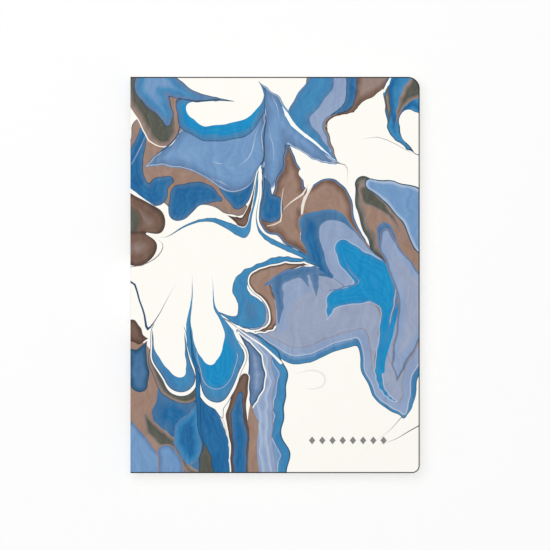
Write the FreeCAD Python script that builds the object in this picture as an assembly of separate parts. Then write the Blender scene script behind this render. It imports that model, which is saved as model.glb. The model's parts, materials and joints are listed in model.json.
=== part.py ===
"""Softcover notebook: a block of sewn sections with one card cover folded round the spine.

The notebook lies on its back cover. +X runs from the spine to the fore-edge, +Y from tail to
head, and +Z from the back cover to the front cover. The origin is the centre of the underside.
All sizes are in millimetres. The script writes one STEP file for each sub-part to parts/.
"""
import FreeCAD, Part

import os

Vector = FreeCAD.Vector

# Trimmed size: cover and pages are cut flush together, then two corners are punched round.
TRIM_WIDTH = 153.0
TRIM_HEIGHT = 209.5
HEAD_CORNER_RADIUS = 6.2
TAIL_CORNER_RADIUS = 4.0

# Pages: folded sheets nested into sections, which are sewn side by side.
LEAF_THICKNESS = 0.12
LEAVES_PER_SECTION = 8
SECTION_COUNT = 10

# Cover card, scored and folded round the spine.
CARD_THICKNESS = 0.45
SPINE_BEND_INNER_RADIUS = 0.55  # inside of the card at the two spine folds
RIM_RADIUS = 0.2                # the outside of the card's cut edges, rounded by the knife
HINGE_STRIP = 6.5               # how far the card is glued down from the spine, on each side
HINGE_GAP = 0.05                # the scored line between the glued strip and the board
HINGE_AXIS_LIFT = 0.1           # how far the axis of a board's swing lies off its outer face

# What holds the sections together.
SIDE_GLUE_THICKNESS = 0.1       # also the air between a closed board and the pages
LINING_THICKNESS = 0.2
LINING_END_MARGIN = 8.0         # the lining stops short of head and tail
THREAD_DIAMETER = 0.3
THREAD_CLEARANCE = 0.02         # between a stitch and the crests of the folds
GLUE_OVER_THREAD = 0.03         # between a stitch and the lining
STATION_COUNT = 6
STATION_END_MARGIN = 15.0       # from head and tail to the nearest sewing station

# Heights, worked out from the sizes above.
SECTION_THICKNESS = LEAVES_PER_SECTION * LEAF_THICKNESS
BLOCK_THICKNESS = SECTION_COUNT * SECTION_THICKNESS
BLOCK_BOTTOM = CARD_THICKNESS + SIDE_GLUE_THICKNESS
BLOCK_TOP = BLOCK_BOTTOM + BLOCK_THICKNESS
TOTAL_THICKNESS = BLOCK_TOP + SIDE_GLUE_THICKNESS + CARD_THICKNESS
SPINE_BEND_OUTER_RADIUS = SPINE_BEND_INNER_RADIUS + CARD_THICKNESS

# Places across the notebook, from the spine towards the fore-edge.
SPINE_FACE = -TRIM_WIDTH / 2
SPINE_INSIDE = SPINE_FACE + CARD_THICKNESS
LINING_INSIDE = SPINE_INSIDE + LINING_THICKNESS
FOLD_CREST = LINING_INSIDE + GLUE_OVER_THREAD + THREAD_DIAMETER + THREAD_CLEARANCE
FOLD_RADIUS = SECTION_THICKNESS / 2
FOLD_VALLEY = FOLD_CREST + FOLD_RADIUS
HINGE_LINE = SPINE_FACE + HINGE_STRIP
FORE_EDGE = TRIM_WIDTH / 2

# Places along the notebook.
TAIL_EDGE = -TRIM_HEIGHT / 2
HEAD_EDGE = TRIM_HEIGHT / 2

# Lengths under this count as zero when edges are picked.
SAME = 1e-6


def slab(x_range, z_range):
    """A box between two X and two Z values, as long as the notebook."""
    x_low, x_high = x_range
    z_low, z_high = z_range
    return Part.makeBox(x_high - x_low, TRIM_HEIGHT, z_high - z_low, Vector(x_low, TAIL_EDGE, z_low))


def with_punched_corners(solid):
    """Rounds the two upright edges at the fore-edge, as the corner punch does."""
    for y, radius in ((HEAD_EDGE, HEAD_CORNER_RADIUS), (TAIL_EDGE, TAIL_CORNER_RADIUS)):
        corner = [
            edge for edge in solid.Edges
            if edge.BoundBox.ZLength > SAME
            and abs(edge.BoundBox.Center.x - FORE_EDGE) < SAME
            and abs(edge.BoundBox.Center.y - y) < SAME
        ]
        solid = solid.makeFillet(radius, corner)
    return solid


def with_round_spine(solid, x_spine, radius):
    """Rounds the two long edges at a spine face."""
    folds = [
        edge for edge in solid.Edges
        if edge.BoundBox.YLength > SAME
        and abs(edge.BoundBox.Center.x - x_spine) < SAME
        and edge.BoundBox.XLength + edge.BoundBox.ZLength < 2 * SAME
    ]
    return solid.makeFillet(radius, folds)


def is_rim(edge):
    """Whether an edge of the closed outline is a cut edge, and not where a curve runs into a flat."""
    bounds = edge.BoundBox
    near_spine = bounds.XMax < HINGE_LINE
    return bounds.YLength < SAME if near_spine else bounds.ZLength < SAME


def make_space_inside_card():
    """The space that the folded card wraps, open at the fore-edge."""
    heights = (CARD_THICKNESS, TOTAL_THICKNESS - CARD_THICKNESS)
    space = slab((SPINE_INSIDE, FORE_EDGE), heights)
    return with_round_spine(space, SPINE_INSIDE, SPINE_BEND_INNER_RADIUS)


def make_card():
    """The whole cover card: back board, spine and front board in one piece."""
    outline = slab((SPINE_FACE, FORE_EDGE), (0, TOTAL_THICKNESS))
    outline = with_round_spine(outline, SPINE_FACE, SPINE_BEND_OUTER_RADIUS)
    outline = with_punched_corners(outline)
    outline = outline.makeFillet(RIM_RADIUS, [edge for edge in outline.Edges if is_rim(edge)])
    return outline.cut(make_space_inside_card())


def make_cover_spine(card):
    """The card round the spine, with the strip that is glued down on each side."""
    return card.common(slab((SPINE_FACE, HINGE_LINE), (0, TOTAL_THICKNESS)))


def make_board(card, heights):
    """The part of the card between two heights that swings, from the scored line outwards."""
    return card.common(slab((HINGE_LINE + HINGE_GAP, FORE_EDGE), heights))


def make_page_block():
    """All the leaves as one solid, with a round fold at the spine for each section."""
    def corner(x, z):
        return Vector(x, TAIL_EDGE, z)

    edges = [Part.makeLine(corner(FORE_EDGE, BLOCK_BOTTOM), corner(FOLD_VALLEY, BLOCK_BOTTOM))]
    for section in range(SECTION_COUNT):
        low = BLOCK_BOTTOM + section * SECTION_THICKNESS
        fold = Part.Arc(
            corner(FOLD_VALLEY, low),
            corner(FOLD_CREST, low + FOLD_RADIUS),
            corner(FOLD_VALLEY, low + SECTION_THICKNESS),
        )
        edges.append(fold.toShape())
    edges.append(Part.makeLine(corner(FOLD_VALLEY, BLOCK_TOP), corner(FORE_EDGE, BLOCK_TOP)))
    edges.append(Part.makeLine(corner(FORE_EDGE, BLOCK_TOP), corner(FORE_EDGE, BLOCK_BOTTOM)))
    block = Part.Face(Part.Wire(edges)).extrude(Vector(0, TRIM_HEIGHT, 0))
    return with_punched_corners(block)


def make_sewing_thread():
    """The link stitches: at each station the thread runs across the folds of all the sections."""
    pitch = (TRIM_HEIGHT - 2 * STATION_END_MARGIN) / (STATION_COUNT - 1)
    radius = THREAD_DIAMETER / 2
    stitches = []
    for station in range(STATION_COUNT):
        foot = Vector(
            FOLD_CREST - THREAD_CLEARANCE - radius,
            TAIL_EDGE + STATION_END_MARGIN + station * pitch,
            BLOCK_BOTTOM + FOLD_RADIUS,
        )
        stitches.append(Part.makeCylinder(radius, BLOCK_THICKNESS - SECTION_THICKNESS, foot))
    return Part.makeCompound(stitches)


def make_spine_lining():
    """The strip of gauze between the glued folds and the flat of the card's spine."""
    return Part.makeBox(
        LINING_THICKNESS,
        TRIM_HEIGHT - 2 * LINING_END_MARGIN,
        TOTAL_THICKNESS - 2 * SPINE_BEND_OUTER_RADIUS,
        Vector(SPINE_INSIDE, TAIL_EDGE + LINING_END_MARGIN, SPINE_BEND_OUTER_RADIUS),
    )


def make_spine_glue(page_block, sewing_thread, spine_lining):
    """The adhesive, which fills the folded card up to the scored lines round all the rest."""
    glue = make_space_inside_card().common(slab((SPINE_FACE, HINGE_LINE), (0, TOTAL_THICKNESS)))
    for held in (page_block, spine_lining, *sewing_thread.Solids):
        glue = glue.cut(held)
    return glue


def main():
    """Builds the notebook and writes parts/NAME.step for each sub-part."""
    card = make_card()
    page_block = make_page_block()
    sewing_thread = make_sewing_thread()
    spine_lining = make_spine_lining()
    nodes = {
        "front_cover": make_board(card, (BLOCK_TOP, TOTAL_THICKNESS)),
        "back_cover": make_board(card, (0, BLOCK_BOTTOM)),
        "cover_spine": make_cover_spine(card),
        "page_block": page_block,
        "sewing_thread": sewing_thread,
        "spine_lining": spine_lining,
        "spine_glue": make_spine_glue(page_block, sewing_thread, spine_lining),
    }
    os.makedirs("parts", exist_ok=True)
    for name, shape in nodes.items():
        shape.exportStep(f"parts/{name}.step")
        print(f"{name}: {len(shape.Solids)} solids, {shape.Volume:.1f} mm3, valid {shape.isValid()}")
    print(f"front cover swings about x {HINGE_LINE:.3f}, z {TOTAL_THICKNESS + HINGE_AXIS_LIFT:.3f}")
    print(f"back cover swings about x {HINGE_LINE:.3f}, z {-HINGE_AXIS_LIFT:.3f}")


main()
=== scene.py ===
"""Looks of a softcover notebook: one marbled card cover folded round a block of sewn sections."""

import json
import logging
import math
from dataclasses import dataclass
from enum import Enum, IntEnum
from typing import Callable, Dict, List, Sequence, Tuple, Union

import bmesh
import bpy
from mathutils import Color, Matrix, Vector


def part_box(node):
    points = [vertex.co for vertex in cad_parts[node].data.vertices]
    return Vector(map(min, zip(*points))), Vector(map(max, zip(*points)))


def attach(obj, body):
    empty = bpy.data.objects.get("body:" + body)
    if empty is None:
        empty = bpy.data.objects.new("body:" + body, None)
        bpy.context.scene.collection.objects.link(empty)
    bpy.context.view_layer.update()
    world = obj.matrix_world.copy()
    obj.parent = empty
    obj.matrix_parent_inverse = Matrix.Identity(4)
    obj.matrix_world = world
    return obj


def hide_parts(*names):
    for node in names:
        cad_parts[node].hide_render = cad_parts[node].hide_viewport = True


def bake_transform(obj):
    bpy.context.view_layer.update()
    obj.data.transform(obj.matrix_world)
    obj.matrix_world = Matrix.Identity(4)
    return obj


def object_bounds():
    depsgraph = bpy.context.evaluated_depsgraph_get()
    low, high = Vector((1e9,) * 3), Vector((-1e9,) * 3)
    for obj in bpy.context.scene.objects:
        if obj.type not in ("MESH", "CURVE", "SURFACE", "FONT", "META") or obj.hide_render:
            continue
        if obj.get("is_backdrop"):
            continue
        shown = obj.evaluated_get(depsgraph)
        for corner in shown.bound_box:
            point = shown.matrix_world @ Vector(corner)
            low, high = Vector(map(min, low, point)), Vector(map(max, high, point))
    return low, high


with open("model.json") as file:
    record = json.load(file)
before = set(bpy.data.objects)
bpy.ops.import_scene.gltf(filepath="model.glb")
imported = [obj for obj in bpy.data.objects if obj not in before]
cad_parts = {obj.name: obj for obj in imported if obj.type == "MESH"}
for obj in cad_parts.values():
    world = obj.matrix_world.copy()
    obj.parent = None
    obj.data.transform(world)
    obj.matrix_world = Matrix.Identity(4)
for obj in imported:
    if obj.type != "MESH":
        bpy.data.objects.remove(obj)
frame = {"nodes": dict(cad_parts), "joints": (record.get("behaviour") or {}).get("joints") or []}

LOG = logging.getLogger("notebook")
MM = 0.001
SAME = 1e-6  # two places this near are one
FLOOR_GAP = 0.05 * MM  # from the floor up to a back board that lies open on it
BYTE = 255  # the brightest that a byte of colour can be
COARSE, FINE, FINEST = 2.0, 3.0, 4.0  # how much detail cloudy noise has
CLOUD_MIDDLE = Vector((0.5, 0.5, 0.5))  # what cloudy noise comes to on average, as a point

Point = Tuple[float, float]
Disc = Tuple[float, float, float]
Colour = Tuple[float, float, float, float]


class Ink(Enum):
    """The marbler's inks and the notebook's other colours, as red, green and blue bytes."""

    WHITE = (254, 252, 245)
    CREAM = (238, 230, 220)
    FAINT_GREY = (238, 236, 230)
    PERIWINKLE = (113, 152, 195)
    LAVENDER = (143, 162, 194)
    PALE_BLUE = (173, 191, 215)
    SKY_BLUE = (0, 138, 194)
    CLEAR_BLUE = (60, 134, 182)
    DUSTY_BLUE = (76, 126, 169)
    STEEL_BLUE = (68, 113, 155)
    DEEP_BLUE = (21, 101, 155)
    NAVY = (33, 74, 103)
    TAUPE = (147, 128, 120)
    BROWN = (116, 90, 77)
    RUST = (155, 126, 111)
    UMBER = (81, 64, 56)
    OLIVE = (83, 85, 76)
    GREY = (124, 118, 113)
    SLATE_BLUE = (95, 124, 163)
    GREY_LAVENDER = (151, 163, 188)
    MARK = (134, 134, 134)
    # the card's core between its fibres at the cut edges, dark grey-brown partly as painted shade
    EDGE = (96, 92, 90)
    CARD = (246, 245, 240)
    CARD_SHADE = (226, 223, 214)
    PAPER = (248, 245, 234)
    # painted shade in the gaps between leaves and between a thread's strands, and the tone of the knife's
    # streaks
    PAPER_SHADE = (206, 200, 184)
    RULE = (186, 196, 206)
    GLUE = (226, 216, 184)
    FLOOR = (254, 254, 254)
    FLOOR_SHADE = (252, 252, 252)

    def colour(self) -> Colour:
        """The ink as a linear colour, opaque."""
        return (*Color([byte / BYTE for byte in self.value]).from_srgb_to_scene_linear(), 1.0)


WHITE: Colour = (1.0, 1.0, 1.0, 1.0)
BLACK: Colour = (0.0, 0.0, 0.0, 1.0)
# inks that are bare card or thin lines, and so have no tides
LINE_INKS = (Ink.WHITE, Ink.CREAM, Ink.FAINT_GREY, Ink.NAVY, Ink.GREY, Ink.PALE_BLUE)


def mixed(first: Colour, second: Colour, share: float) -> Colour:
    """Mixes this share of the second colour into the first."""
    return tuple(one + (other - one) * share for one, other in zip(first, second))


class Field:
    """A number, point or colour that varies over a surface, for use in Python expressions."""

    def __init__(self, tree: "Tree", socket: bpy.types.NodeSocket) -> None:
        """Wraps one output socket of the tree."""
        self.tree = tree
        self.socket = socket

    def maths(self, operation: str, *terms: "Term", output: Union[int, str] = 0) -> "Field":
        """Adds a Math node, or a Vector Math node where this field isn't a number.

        Args:
            operation: The node's operation.
            terms: The values of its sockets, in order.
            output: Which of its outputs is wanted.

        Returns:
            The node's result.
        """
        kind = "ShaderNodeMath" if self.socket.type == "VALUE" else "ShaderNodeVectorMath"
        return self.tree.node(kind, {"operation": operation}, terms, output)

    def __add__(self, other: "Term") -> "Field":
        """This plus the other."""
        return self.maths("ADD", self, other)

    def __radd__(self, other: "Term") -> "Field":
        """The other plus this."""
        return self.maths("ADD", other, self)

    def __sub__(self, other: "Term") -> "Field":
        """This less the other."""
        return self.maths("SUBTRACT", self, other)

    def __rsub__(self, other: "Term") -> "Field":
        """The other less this."""
        return self.maths("SUBTRACT", other, self)

    def __mul__(self, other: "Term") -> "Field":
        """This times the other."""
        return self.maths("MULTIPLY", self, other)

    def __rmul__(self, other: "Term") -> "Field":
        """The other times this."""
        return self.maths("MULTIPLY", other, self)

    def __neg__(self) -> "Field":
        """This with its sign turned."""
        return self.maths("MULTIPLY", self, -1.0)

    def __abs__(self) -> "Field":
        """This without its sign."""
        return self.maths("ABSOLUTE", self)

    def dot(self, direction: Vector) -> "Field":
        """How far this point lies along a direction."""
        return self.maths("DOT_PRODUCT", self, direction, output="Value")

    def length(self) -> "Field":
        """How far this point is from zero."""
        return self.maths("LENGTH", self, output="Value")

    def scaled(self, size: "Term") -> "Field":
        """This point or colour times a number."""
        inputs = {"Vector": self, "Scale": size}
        return self.tree.node("ShaderNodeVectorMath", {"operation": "SCALE"}, inputs)

    def along(self, direction: Vector) -> "Field":
        """The point this far along a direction."""
        inputs = {"Vector": direction, "Scale": self}
        return self.tree.node("ShaderNodeVectorMath", {"operation": "SCALE"}, inputs)

    def between(self, low: float, high: float) -> "Field":
        """The value this share of the way from low to high."""
        return self.maths("MULTIPLY_ADD", self, high - low, low)

    def clamped(self) -> "Field":
        """This held between zero and one."""
        return self.tree.node("ShaderNodeClamp", {}, (self, 0.0, 1.0))

    def stepped(self, start: float, end: float, low: float = 0.0, high: float = 1.0) -> "Field":
        """This turned smoothly from low, at start, to high, at end."""
        settings = {"interpolation_type": "SMOOTHSTEP"}
        return self.tree.node("ShaderNodeMapRange", settings, (self, start, end, low, high))


Term = Union[Field, float, Vector]


class Tree:
    """A node tree that is built from Python expressions."""

    def __init__(self, made: bpy.types.NodeTree) -> None:
        """Wraps a node tree.

        Args:
            made: The tree, which may hold nodes already.
        """
        self.made = made
        self.nodes = made.nodes
        self.links = made.links

    def node(
        self,
        kind: str,
        settings: Dict[str, object],
        inputs: Union[Dict[str, Term], Sequence[Term]] = (),
        output: Union[int, str] = 0,
    ) -> Field:
        """Adds one node.

        Args:
            kind: The node's type.
            settings: Its own settings, which are set first. "stops" are a ramp's places and colours.
            inputs: The values or links of its sockets, in order or by identifier.
            output: Which of its outputs is wanted, by place or identifier.

        Returns:
            The wanted output.
        """
        made = self.nodes.new(kind)
        for setting, value in settings.items():
            if setting == "stops":
                set_stops(made.color_ramp, value)
            else:
                setattr(made, setting, value)
        pairs = inputs.items() if isinstance(inputs, dict) else enumerate(inputs)
        for key, value in pairs:
            self.plug(find_socket(made.inputs, key), value)
        return Field(self, find_socket(made.outputs, output))

    def plug(self, socket: bpy.types.NodeSocket, value: Term) -> None:
        """Links a socket to a field, or sets it to a constant.

        Args:
            socket: The socket.
            value: A field, a number, a point or a colour.
        """
        if isinstance(value, Field):
            self.links.new(value.socket, socket)
        elif socket.type == "VECTOR" and isinstance(value, (int, float)):
            socket.default_value = (value, value, value)
        elif socket.type == "VECTOR":
            socket.default_value = Vector(value).to_3d()
        else:
            socket.default_value = value

    def paint(self, below: Term, above: Term, share: Term) -> Field:
        """Lays one colour over another.

        Args:
            below: The colour underneath.
            above: The colour on top.
            share: How much of the upper colour shows.

        Returns:
            The mixed colour.
        """
        inputs = {"Factor_Float": share, "A_Color": below, "B_Color": above}
        return self.node("ShaderNodeMix", {"data_type": "RGBA"}, inputs, "Result_Color")

    def cloud(self, place: Term, scale: float, detail: float = COARSE, output: str = "Fac") -> Field:
        """Cloudy noise round a half, as a number, or as a point with output "Color"."""
        inputs = {"Vector": place, "Scale": scale, "Detail": detail}
        return self.node("ShaderNodeTexNoise", {}, inputs, output)

    def parts(self, place: Field) -> Tuple[Field, Field, Field]:
        """A point's three numbers."""
        split = self.node("ShaderNodeSeparateXYZ", {}, (place,))
        return tuple(Field(self, socket) for socket in split.socket.node.outputs)

    def point(self, *numbers: Term) -> Field:
        """A point from its two or three numbers."""
        return self.node("ShaderNodeCombineXYZ", {}, numbers)

    def on_object(self) -> Field:
        """The place on the object, in metres."""
        return self.node("ShaderNodeTexCoord", {}, output="Object")


class LayerTree(Tree):
    """A node group that lays one colour over another, by the place on the surface."""

    def __init__(self, name: str) -> None:
        """Makes the group with its sockets.

        Args:
            name: The group's name.
        """
        super().__init__(bpy.data.node_groups.new(name, "ShaderNodeTree"))
        sockets = self.made.interface
        sockets.new_socket("Place", in_out="INPUT", socket_type="NodeSocketVector")
        sockets.new_socket("Spread", in_out="INPUT", socket_type="NodeSocketFloat")
        sockets.new_socket("Below", in_out="INPUT", socket_type="NodeSocketColor")
        sockets.new_socket("Colour", in_out="OUTPUT", socket_type="NodeSocketColor")
        entry = self.nodes.new("NodeGroupInput")
        self.place = Field(self, entry.outputs["Place"])
        self.spread = Field(self, entry.outputs["Spread"])
        self.below = Field(self, entry.outputs["Below"])

    def use(self, colour: Field, place: Field, spread: Field, below: Term) -> Field:
        """Ends the group and puts it to use in another tree.

        Args:
            colour: What the group makes.
            place: The place on the surface, in the other tree.
            spread: How thinly the bands lie there, in the other tree.
            below: The colour underneath, in the other tree.

        Returns:
            The group's colour in the other tree.
        """
        self.links.new(colour.socket, self.nodes.new("NodeGroupOutput").inputs["Colour"])
        return place.tree.node("ShaderNodeGroup", {"node_tree": self.made}, (place, spread, below))


class FinishTree(Tree):
    """The node tree of one finish, with its surface shader."""

    def __init__(self, name: str) -> None:
        """Makes a material with one surface shader.

        Args:
            name: The material's name.
        """
        self.material = bpy.data.materials.new(name)
        self.material.use_nodes = True
        super().__init__(self.material.node_tree)
        self.shader = next(node for node in self.nodes if node.type == "BSDF_PRINCIPLED")
        self.surface = self.shader.outputs[0].links[0].to_socket

    def raise_by(self, height: Field, depth: float) -> None:
        """Raises the surface by a height from zero to one, through the shader's normal.

        Args:
            height: How far up, as a share of the depth.
            depth: The full height, in metres.
        """
        inputs = {"Distance": depth, "Height": height}
        self.plug(self.shader.inputs["Normal"], self.node("ShaderNodeBump", {}, inputs))

    def finish(self, **values: Term) -> bpy.types.Material:
        """Sets the shader's sockets, by their names in lower case with _ for a space.

        Args:
            values: A field, number or colour for each socket.

        Returns:
            The finished material.
        """
        sockets = {socket.name.lower().replace(" ", "_"): socket for socket in self.shader.inputs}
        for name, value in values.items():
            self.plug(sockets[name], value)
        return self.material


def set_stops(ramp: bpy.types.ColorRamp, stops: Sequence[Tuple[float, Colour]]) -> None:
    """Gives a ramp its stops.

    Args:
        ramp: A new ramp, with its two first stops.
        stops: The places and colours, in rising order.
    """
    for place, _ in stops[2:]:
        ramp.elements.new(place)
    for element, (place, colour) in zip(ramp.elements, stops):
        element.position = place
        element.color = colour


def find_socket(sockets: Sequence[bpy.types.NodeSocket], key: Union[int, str]) -> bpy.types.NodeSocket:
    """Picks one of a node's sockets.

    Args:
        sockets: A node's inputs or outputs.
        key: The socket's place or identifier.

    Returns:
        The socket.
    """
    if isinstance(key, int):
        return sockets[key]
    return next(socket for socket in sockets if socket.identifier == key)


BLEED = 0.15  # how far two neighbouring inks run into each other, in millimetres
# how far in from its own shore the last ink lies lighter or darker, in millimetres, and how much
TIDES = (
    (1.2, 0.015), (2.1, -0.013), (3.6, 0.013), (4.6, -0.01), (6.8, 0.015), (8.1, -0.008), (10.8, 0.013),
    (12.0, -0.008), (15.5, 0.01), (17.0, 0.0),
)


class Flow(Enum):
    """The inks nested in one pool: each starts at a depth from the shore, in millimetres."""

    WHITE = ((0, Ink.WHITE),)
    OUTLINED_WHITE = ((0, Ink.NAVY), (0.3, Ink.WHITE))
    RUST_FIELD = ((0, Ink.UMBER), (0.3, Ink.TAUPE), (1, Ink.RUST, 2))
    DEEP_BLUE = ((0, Ink.NAVY), (0.35, Ink.STEEL_BLUE), (0.7, Ink.DEEP_BLUE, 2.5))
    STEEL_FIELD = ((0, Ink.NAVY), (0.5, Ink.SLATE_BLUE), (1, Ink.STEEL_BLUE, 3), (6, Ink.DEEP_BLUE, 6))
    PERIWINKLE_SHEET = (
        (0, Ink.SLATE_BLUE),
        (0.35, Ink.PALE_BLUE),
        (0.8, Ink.SLATE_BLUE),
        (1, Ink.PERIWINKLE, 4.5),
    )
    CRESCENT = ((0, Ink.NAVY), (0.35, Ink.DUSTY_BLUE), (1, Ink.CLEAR_BLUE, 2), (2.9, Ink.SKY_BLUE, 1))
    BLUE_LOBE = ((0, Ink.NAVY), (0.35, Ink.SLATE_BLUE), (1.2, Ink.CLEAR_BLUE, 2), (3.2, Ink.PERIWINKLE, 3))
    OLIVE_BEND = ((0, Ink.WHITE), (0.5, Ink.RUST), (1.3, Ink.TAUPE), (1.6, Ink.OLIVE, 2.6))
    BROWN_BALL = ((0, Ink.UMBER), (0.6, Ink.UMBER), (0.7, Ink.BROWN, 2), (5, Ink.TAUPE, 5))
    BLUE_SWEEP = ((0, Ink.NAVY), (0.25, Ink.CLEAR_BLUE))
    BROWN_SPEAR = ((0, Ink.WHITE), (0.4, Ink.UMBER), (0.9, Ink.BROWN, 1))
    BROWN_BOW = ((0, Ink.NAVY), (0.4, Ink.SLATE_BLUE), (1, Ink.BROWN), (2, Ink.RUST, 2.5))
    CREAM_LINE = ((0, Ink.CREAM),)
    STEEL_CURL = ((0, Ink.RUST), (0.5, Ink.DUSTY_BLUE), (1.1, Ink.STEEL_BLUE, 2))
    STEEL_ARM = ((0, Ink.STEEL_BLUE), (0.5, Ink.DEEP_BLUE, 3))
    LAVENDER_STREAK = ((0, Ink.SLATE_BLUE), (0.3, Ink.LAVENDER))
    SKY_CURL = ((0, Ink.PALE_BLUE), (0.45, Ink.CLEAR_BLUE), (0.6, Ink.SKY_BLUE, 2))
    SKY_LINE = ((0, Ink.SKY_BLUE),)
    OLIVE_EDGE = ((0, Ink.NAVY), (0.4, Ink.OLIVE), (1.2, Ink.GREY, 1.2), (2.6, Ink.RUST, 1.6))
    PERIWINKLE_LOBE = ((0, Ink.NAVY), (0.6, Ink.PALE_BLUE), (1, Ink.PERIWINKLE, 1.5))
    LAVENDER_LEAF = ((0, Ink.UMBER), (0.35, Ink.TAUPE), (0.9, Ink.SLATE_BLUE), (1.5, Ink.LAVENDER))
    BLUE_LEAF = ((0, Ink.SLATE_BLUE), (0.35, Ink.DUSTY_BLUE), (0.5, Ink.CLEAR_BLUE, 4))
    WHITE_SLIVER = ((0, Ink.SKY_BLUE), (0.4, Ink.WHITE))
    BROWN = ((0, Ink.UMBER), (0.5, Ink.BROWN), (1.6, Ink.TAUPE, 3))
    CORNER_BLUE = ((0, Ink.NAVY), (0.5, Ink.CLEAR_BLUE), (1.4, Ink.DEEP_BLUE, 2), (4, Ink.CLEAR_BLUE, 3))
    OLIVE = ((0, Ink.NAVY), (0.4, Ink.OLIVE))
    OLIVE_SHADOW = ((0, Ink.OLIVE), (0.4, Ink.TAUPE, 1))
    RUST = ((0, Ink.TAUPE), (0.3, Ink.RUST))
    HOOK_RIM = ((0, Ink.NAVY), (0.25, Ink.CLEAR_BLUE), (0.4, Ink.CLEAR_BLUE), (2.6, Ink.DUSTY_BLUE, 4))
    HOOK = ((0, Ink.NAVY), (0.3, Ink.WHITE), (1.1, Ink.UMBER), (1.5, Ink.RUST, 1))
    SLATE_SWIRL = ((0, Ink.SLATE_BLUE), (0.3, Ink.STEEL_BLUE, 2))
    DUSTY_CUP = ((0, Ink.NAVY), (0.4, Ink.DUSTY_BLUE), (0.6, Ink.CLEAR_BLUE, 4))
    SKY_CUP = ((0, Ink.PALE_BLUE), (0.3, Ink.CLEAR_BLUE), (0.4, Ink.SKY_BLUE, 3))
    BROWN_ARCH = ((0, Ink.WHITE), (0.5, Ink.UMBER), (0.9, Ink.BROWN, 1.5))
    BLUE_COLUMN = (
        (0, Ink.NAVY),
        (0.4, Ink.CLEAR_BLUE, 0.6),
        (3.4, Ink.DUSTY_BLUE, 1),
        (4.8, Ink.PALE_BLUE),
        (5.2, Ink.PERIWINKLE),
    )
    SLATE_LEAF = ((0, Ink.WHITE), (0.7, Ink.NAVY), (1, Ink.SLATE_BLUE, 1), (2.8, Ink.LAVENDER, 2.4))
    LAVENDER_COLUMN = ((0, Ink.TAUPE), (0.3, Ink.LAVENDER), (2.4, Ink.PALE_BLUE), (2.6, Ink.LAVENDER, 2))
    LAVENDER_LOBE = (
        (0, Ink.TAUPE),
        (0.35, Ink.SLATE_BLUE),
        (0.9, Ink.LAVENDER, 0.6),
        (3.4, Ink.GREY_LAVENDER, 2),
    )
    PERIWINKLE_FOOT = ((0, Ink.RUST), (0.5, Ink.SLATE_BLUE), (0.9, Ink.PERIWINKLE, 2))
    OLIVE_HEART = ((0, Ink.BROWN), (0.4, Ink.OLIVE, 2.4))
    NAVY_LINE = ((0, Ink.NAVY),)
    GREY_HAIR = ((0, Ink.GREY),)
    TAUPE_CUP = ((0, Ink.NAVY), (0.3, Ink.TAUPE), (0.8, Ink.OLIVE, 1.4))
    LAVENDER = ((0, Ink.LAVENDER),)
    CUSP = ((0, Ink.CLEAR_BLUE),)
    FAINT_LINE = ((0, Ink.FAINT_GREY),)
    LAVENDER_TAIL = (
        (0, Ink.SLATE_BLUE),
        (0.3, Ink.PALE_BLUE),
        (0.9, Ink.LAVENDER),
        (4.6, Ink.TAUPE),
        (4.85, Ink.GREY_LAVENDER),
    )
    BLUE_RIM = (
        (0, Ink.NAVY),
        (0.35, Ink.CLEAR_BLUE),
        (0.6, Ink.DUSTY_BLUE, 1.4),
        (2, Ink.PERIWINKLE, 1.6),
    )
    DARK_STRIP = ((0, Ink.NAVY), (0.35, Ink.DEEP_BLUE))
    PALE_STREAK = ((0, Ink.PALE_BLUE),)
    BLUE_DROP = ((0, Ink.SLATE_BLUE), (0.35, Ink.CLEAR_BLUE, 1), (1.6, Ink.DEEP_BLUE, 3))
    SOFT_OLIVE = ((0, Ink.TAUPE), (0.6, Ink.OLIVE, 1.6))
    DUSTY_BLOB = ((0, Ink.RUST), (0.3, Ink.NAVY), (0.7, Ink.STEEL_BLUE, 2.5))

    def stops(self) -> Tuple[float, List[Tuple[float, Colour]]]:
        """Works out the ramp that paints this flow.

        Returns:
            The depth at the ramp's end, and its stops, whose alpha is the pool's own shape.
        """
        bands = [(band[0], band[1].colour(), band[2] if len(band) > 2 else BLEED) for band in self.value]
        stops = [(0.0, bands[0][1][:3] + (0.0,)), (BLEED, bands[0][1])]
        for outer, inner in zip(bands, bands[1:]):
            stops += [(inner[0], outer[1]), (inner[0] + inner[2], inner[1])]
        start, ink, bleed = bands[-1]
        if self.value[-1][1] not in LINE_INKS:
            for tide, tone in TIDES:
                stops.append((start + bleed + tide, mixed(ink, WHITE if tone > 0 else BLACK, abs(tone))))
        deepest = stops[-1][0] + BLEED
        return deepest, [(depth / deepest, colour) for depth, colour in stops]


SEEN_BULGE = 0.2  # a stretch that strays this far from straight shows, in millimetres
SEEN_SHARE = 0.06  # what a wide pool hides of that, as a share of its radius
THINNEST = 0.05  # radius of the finest line


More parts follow.
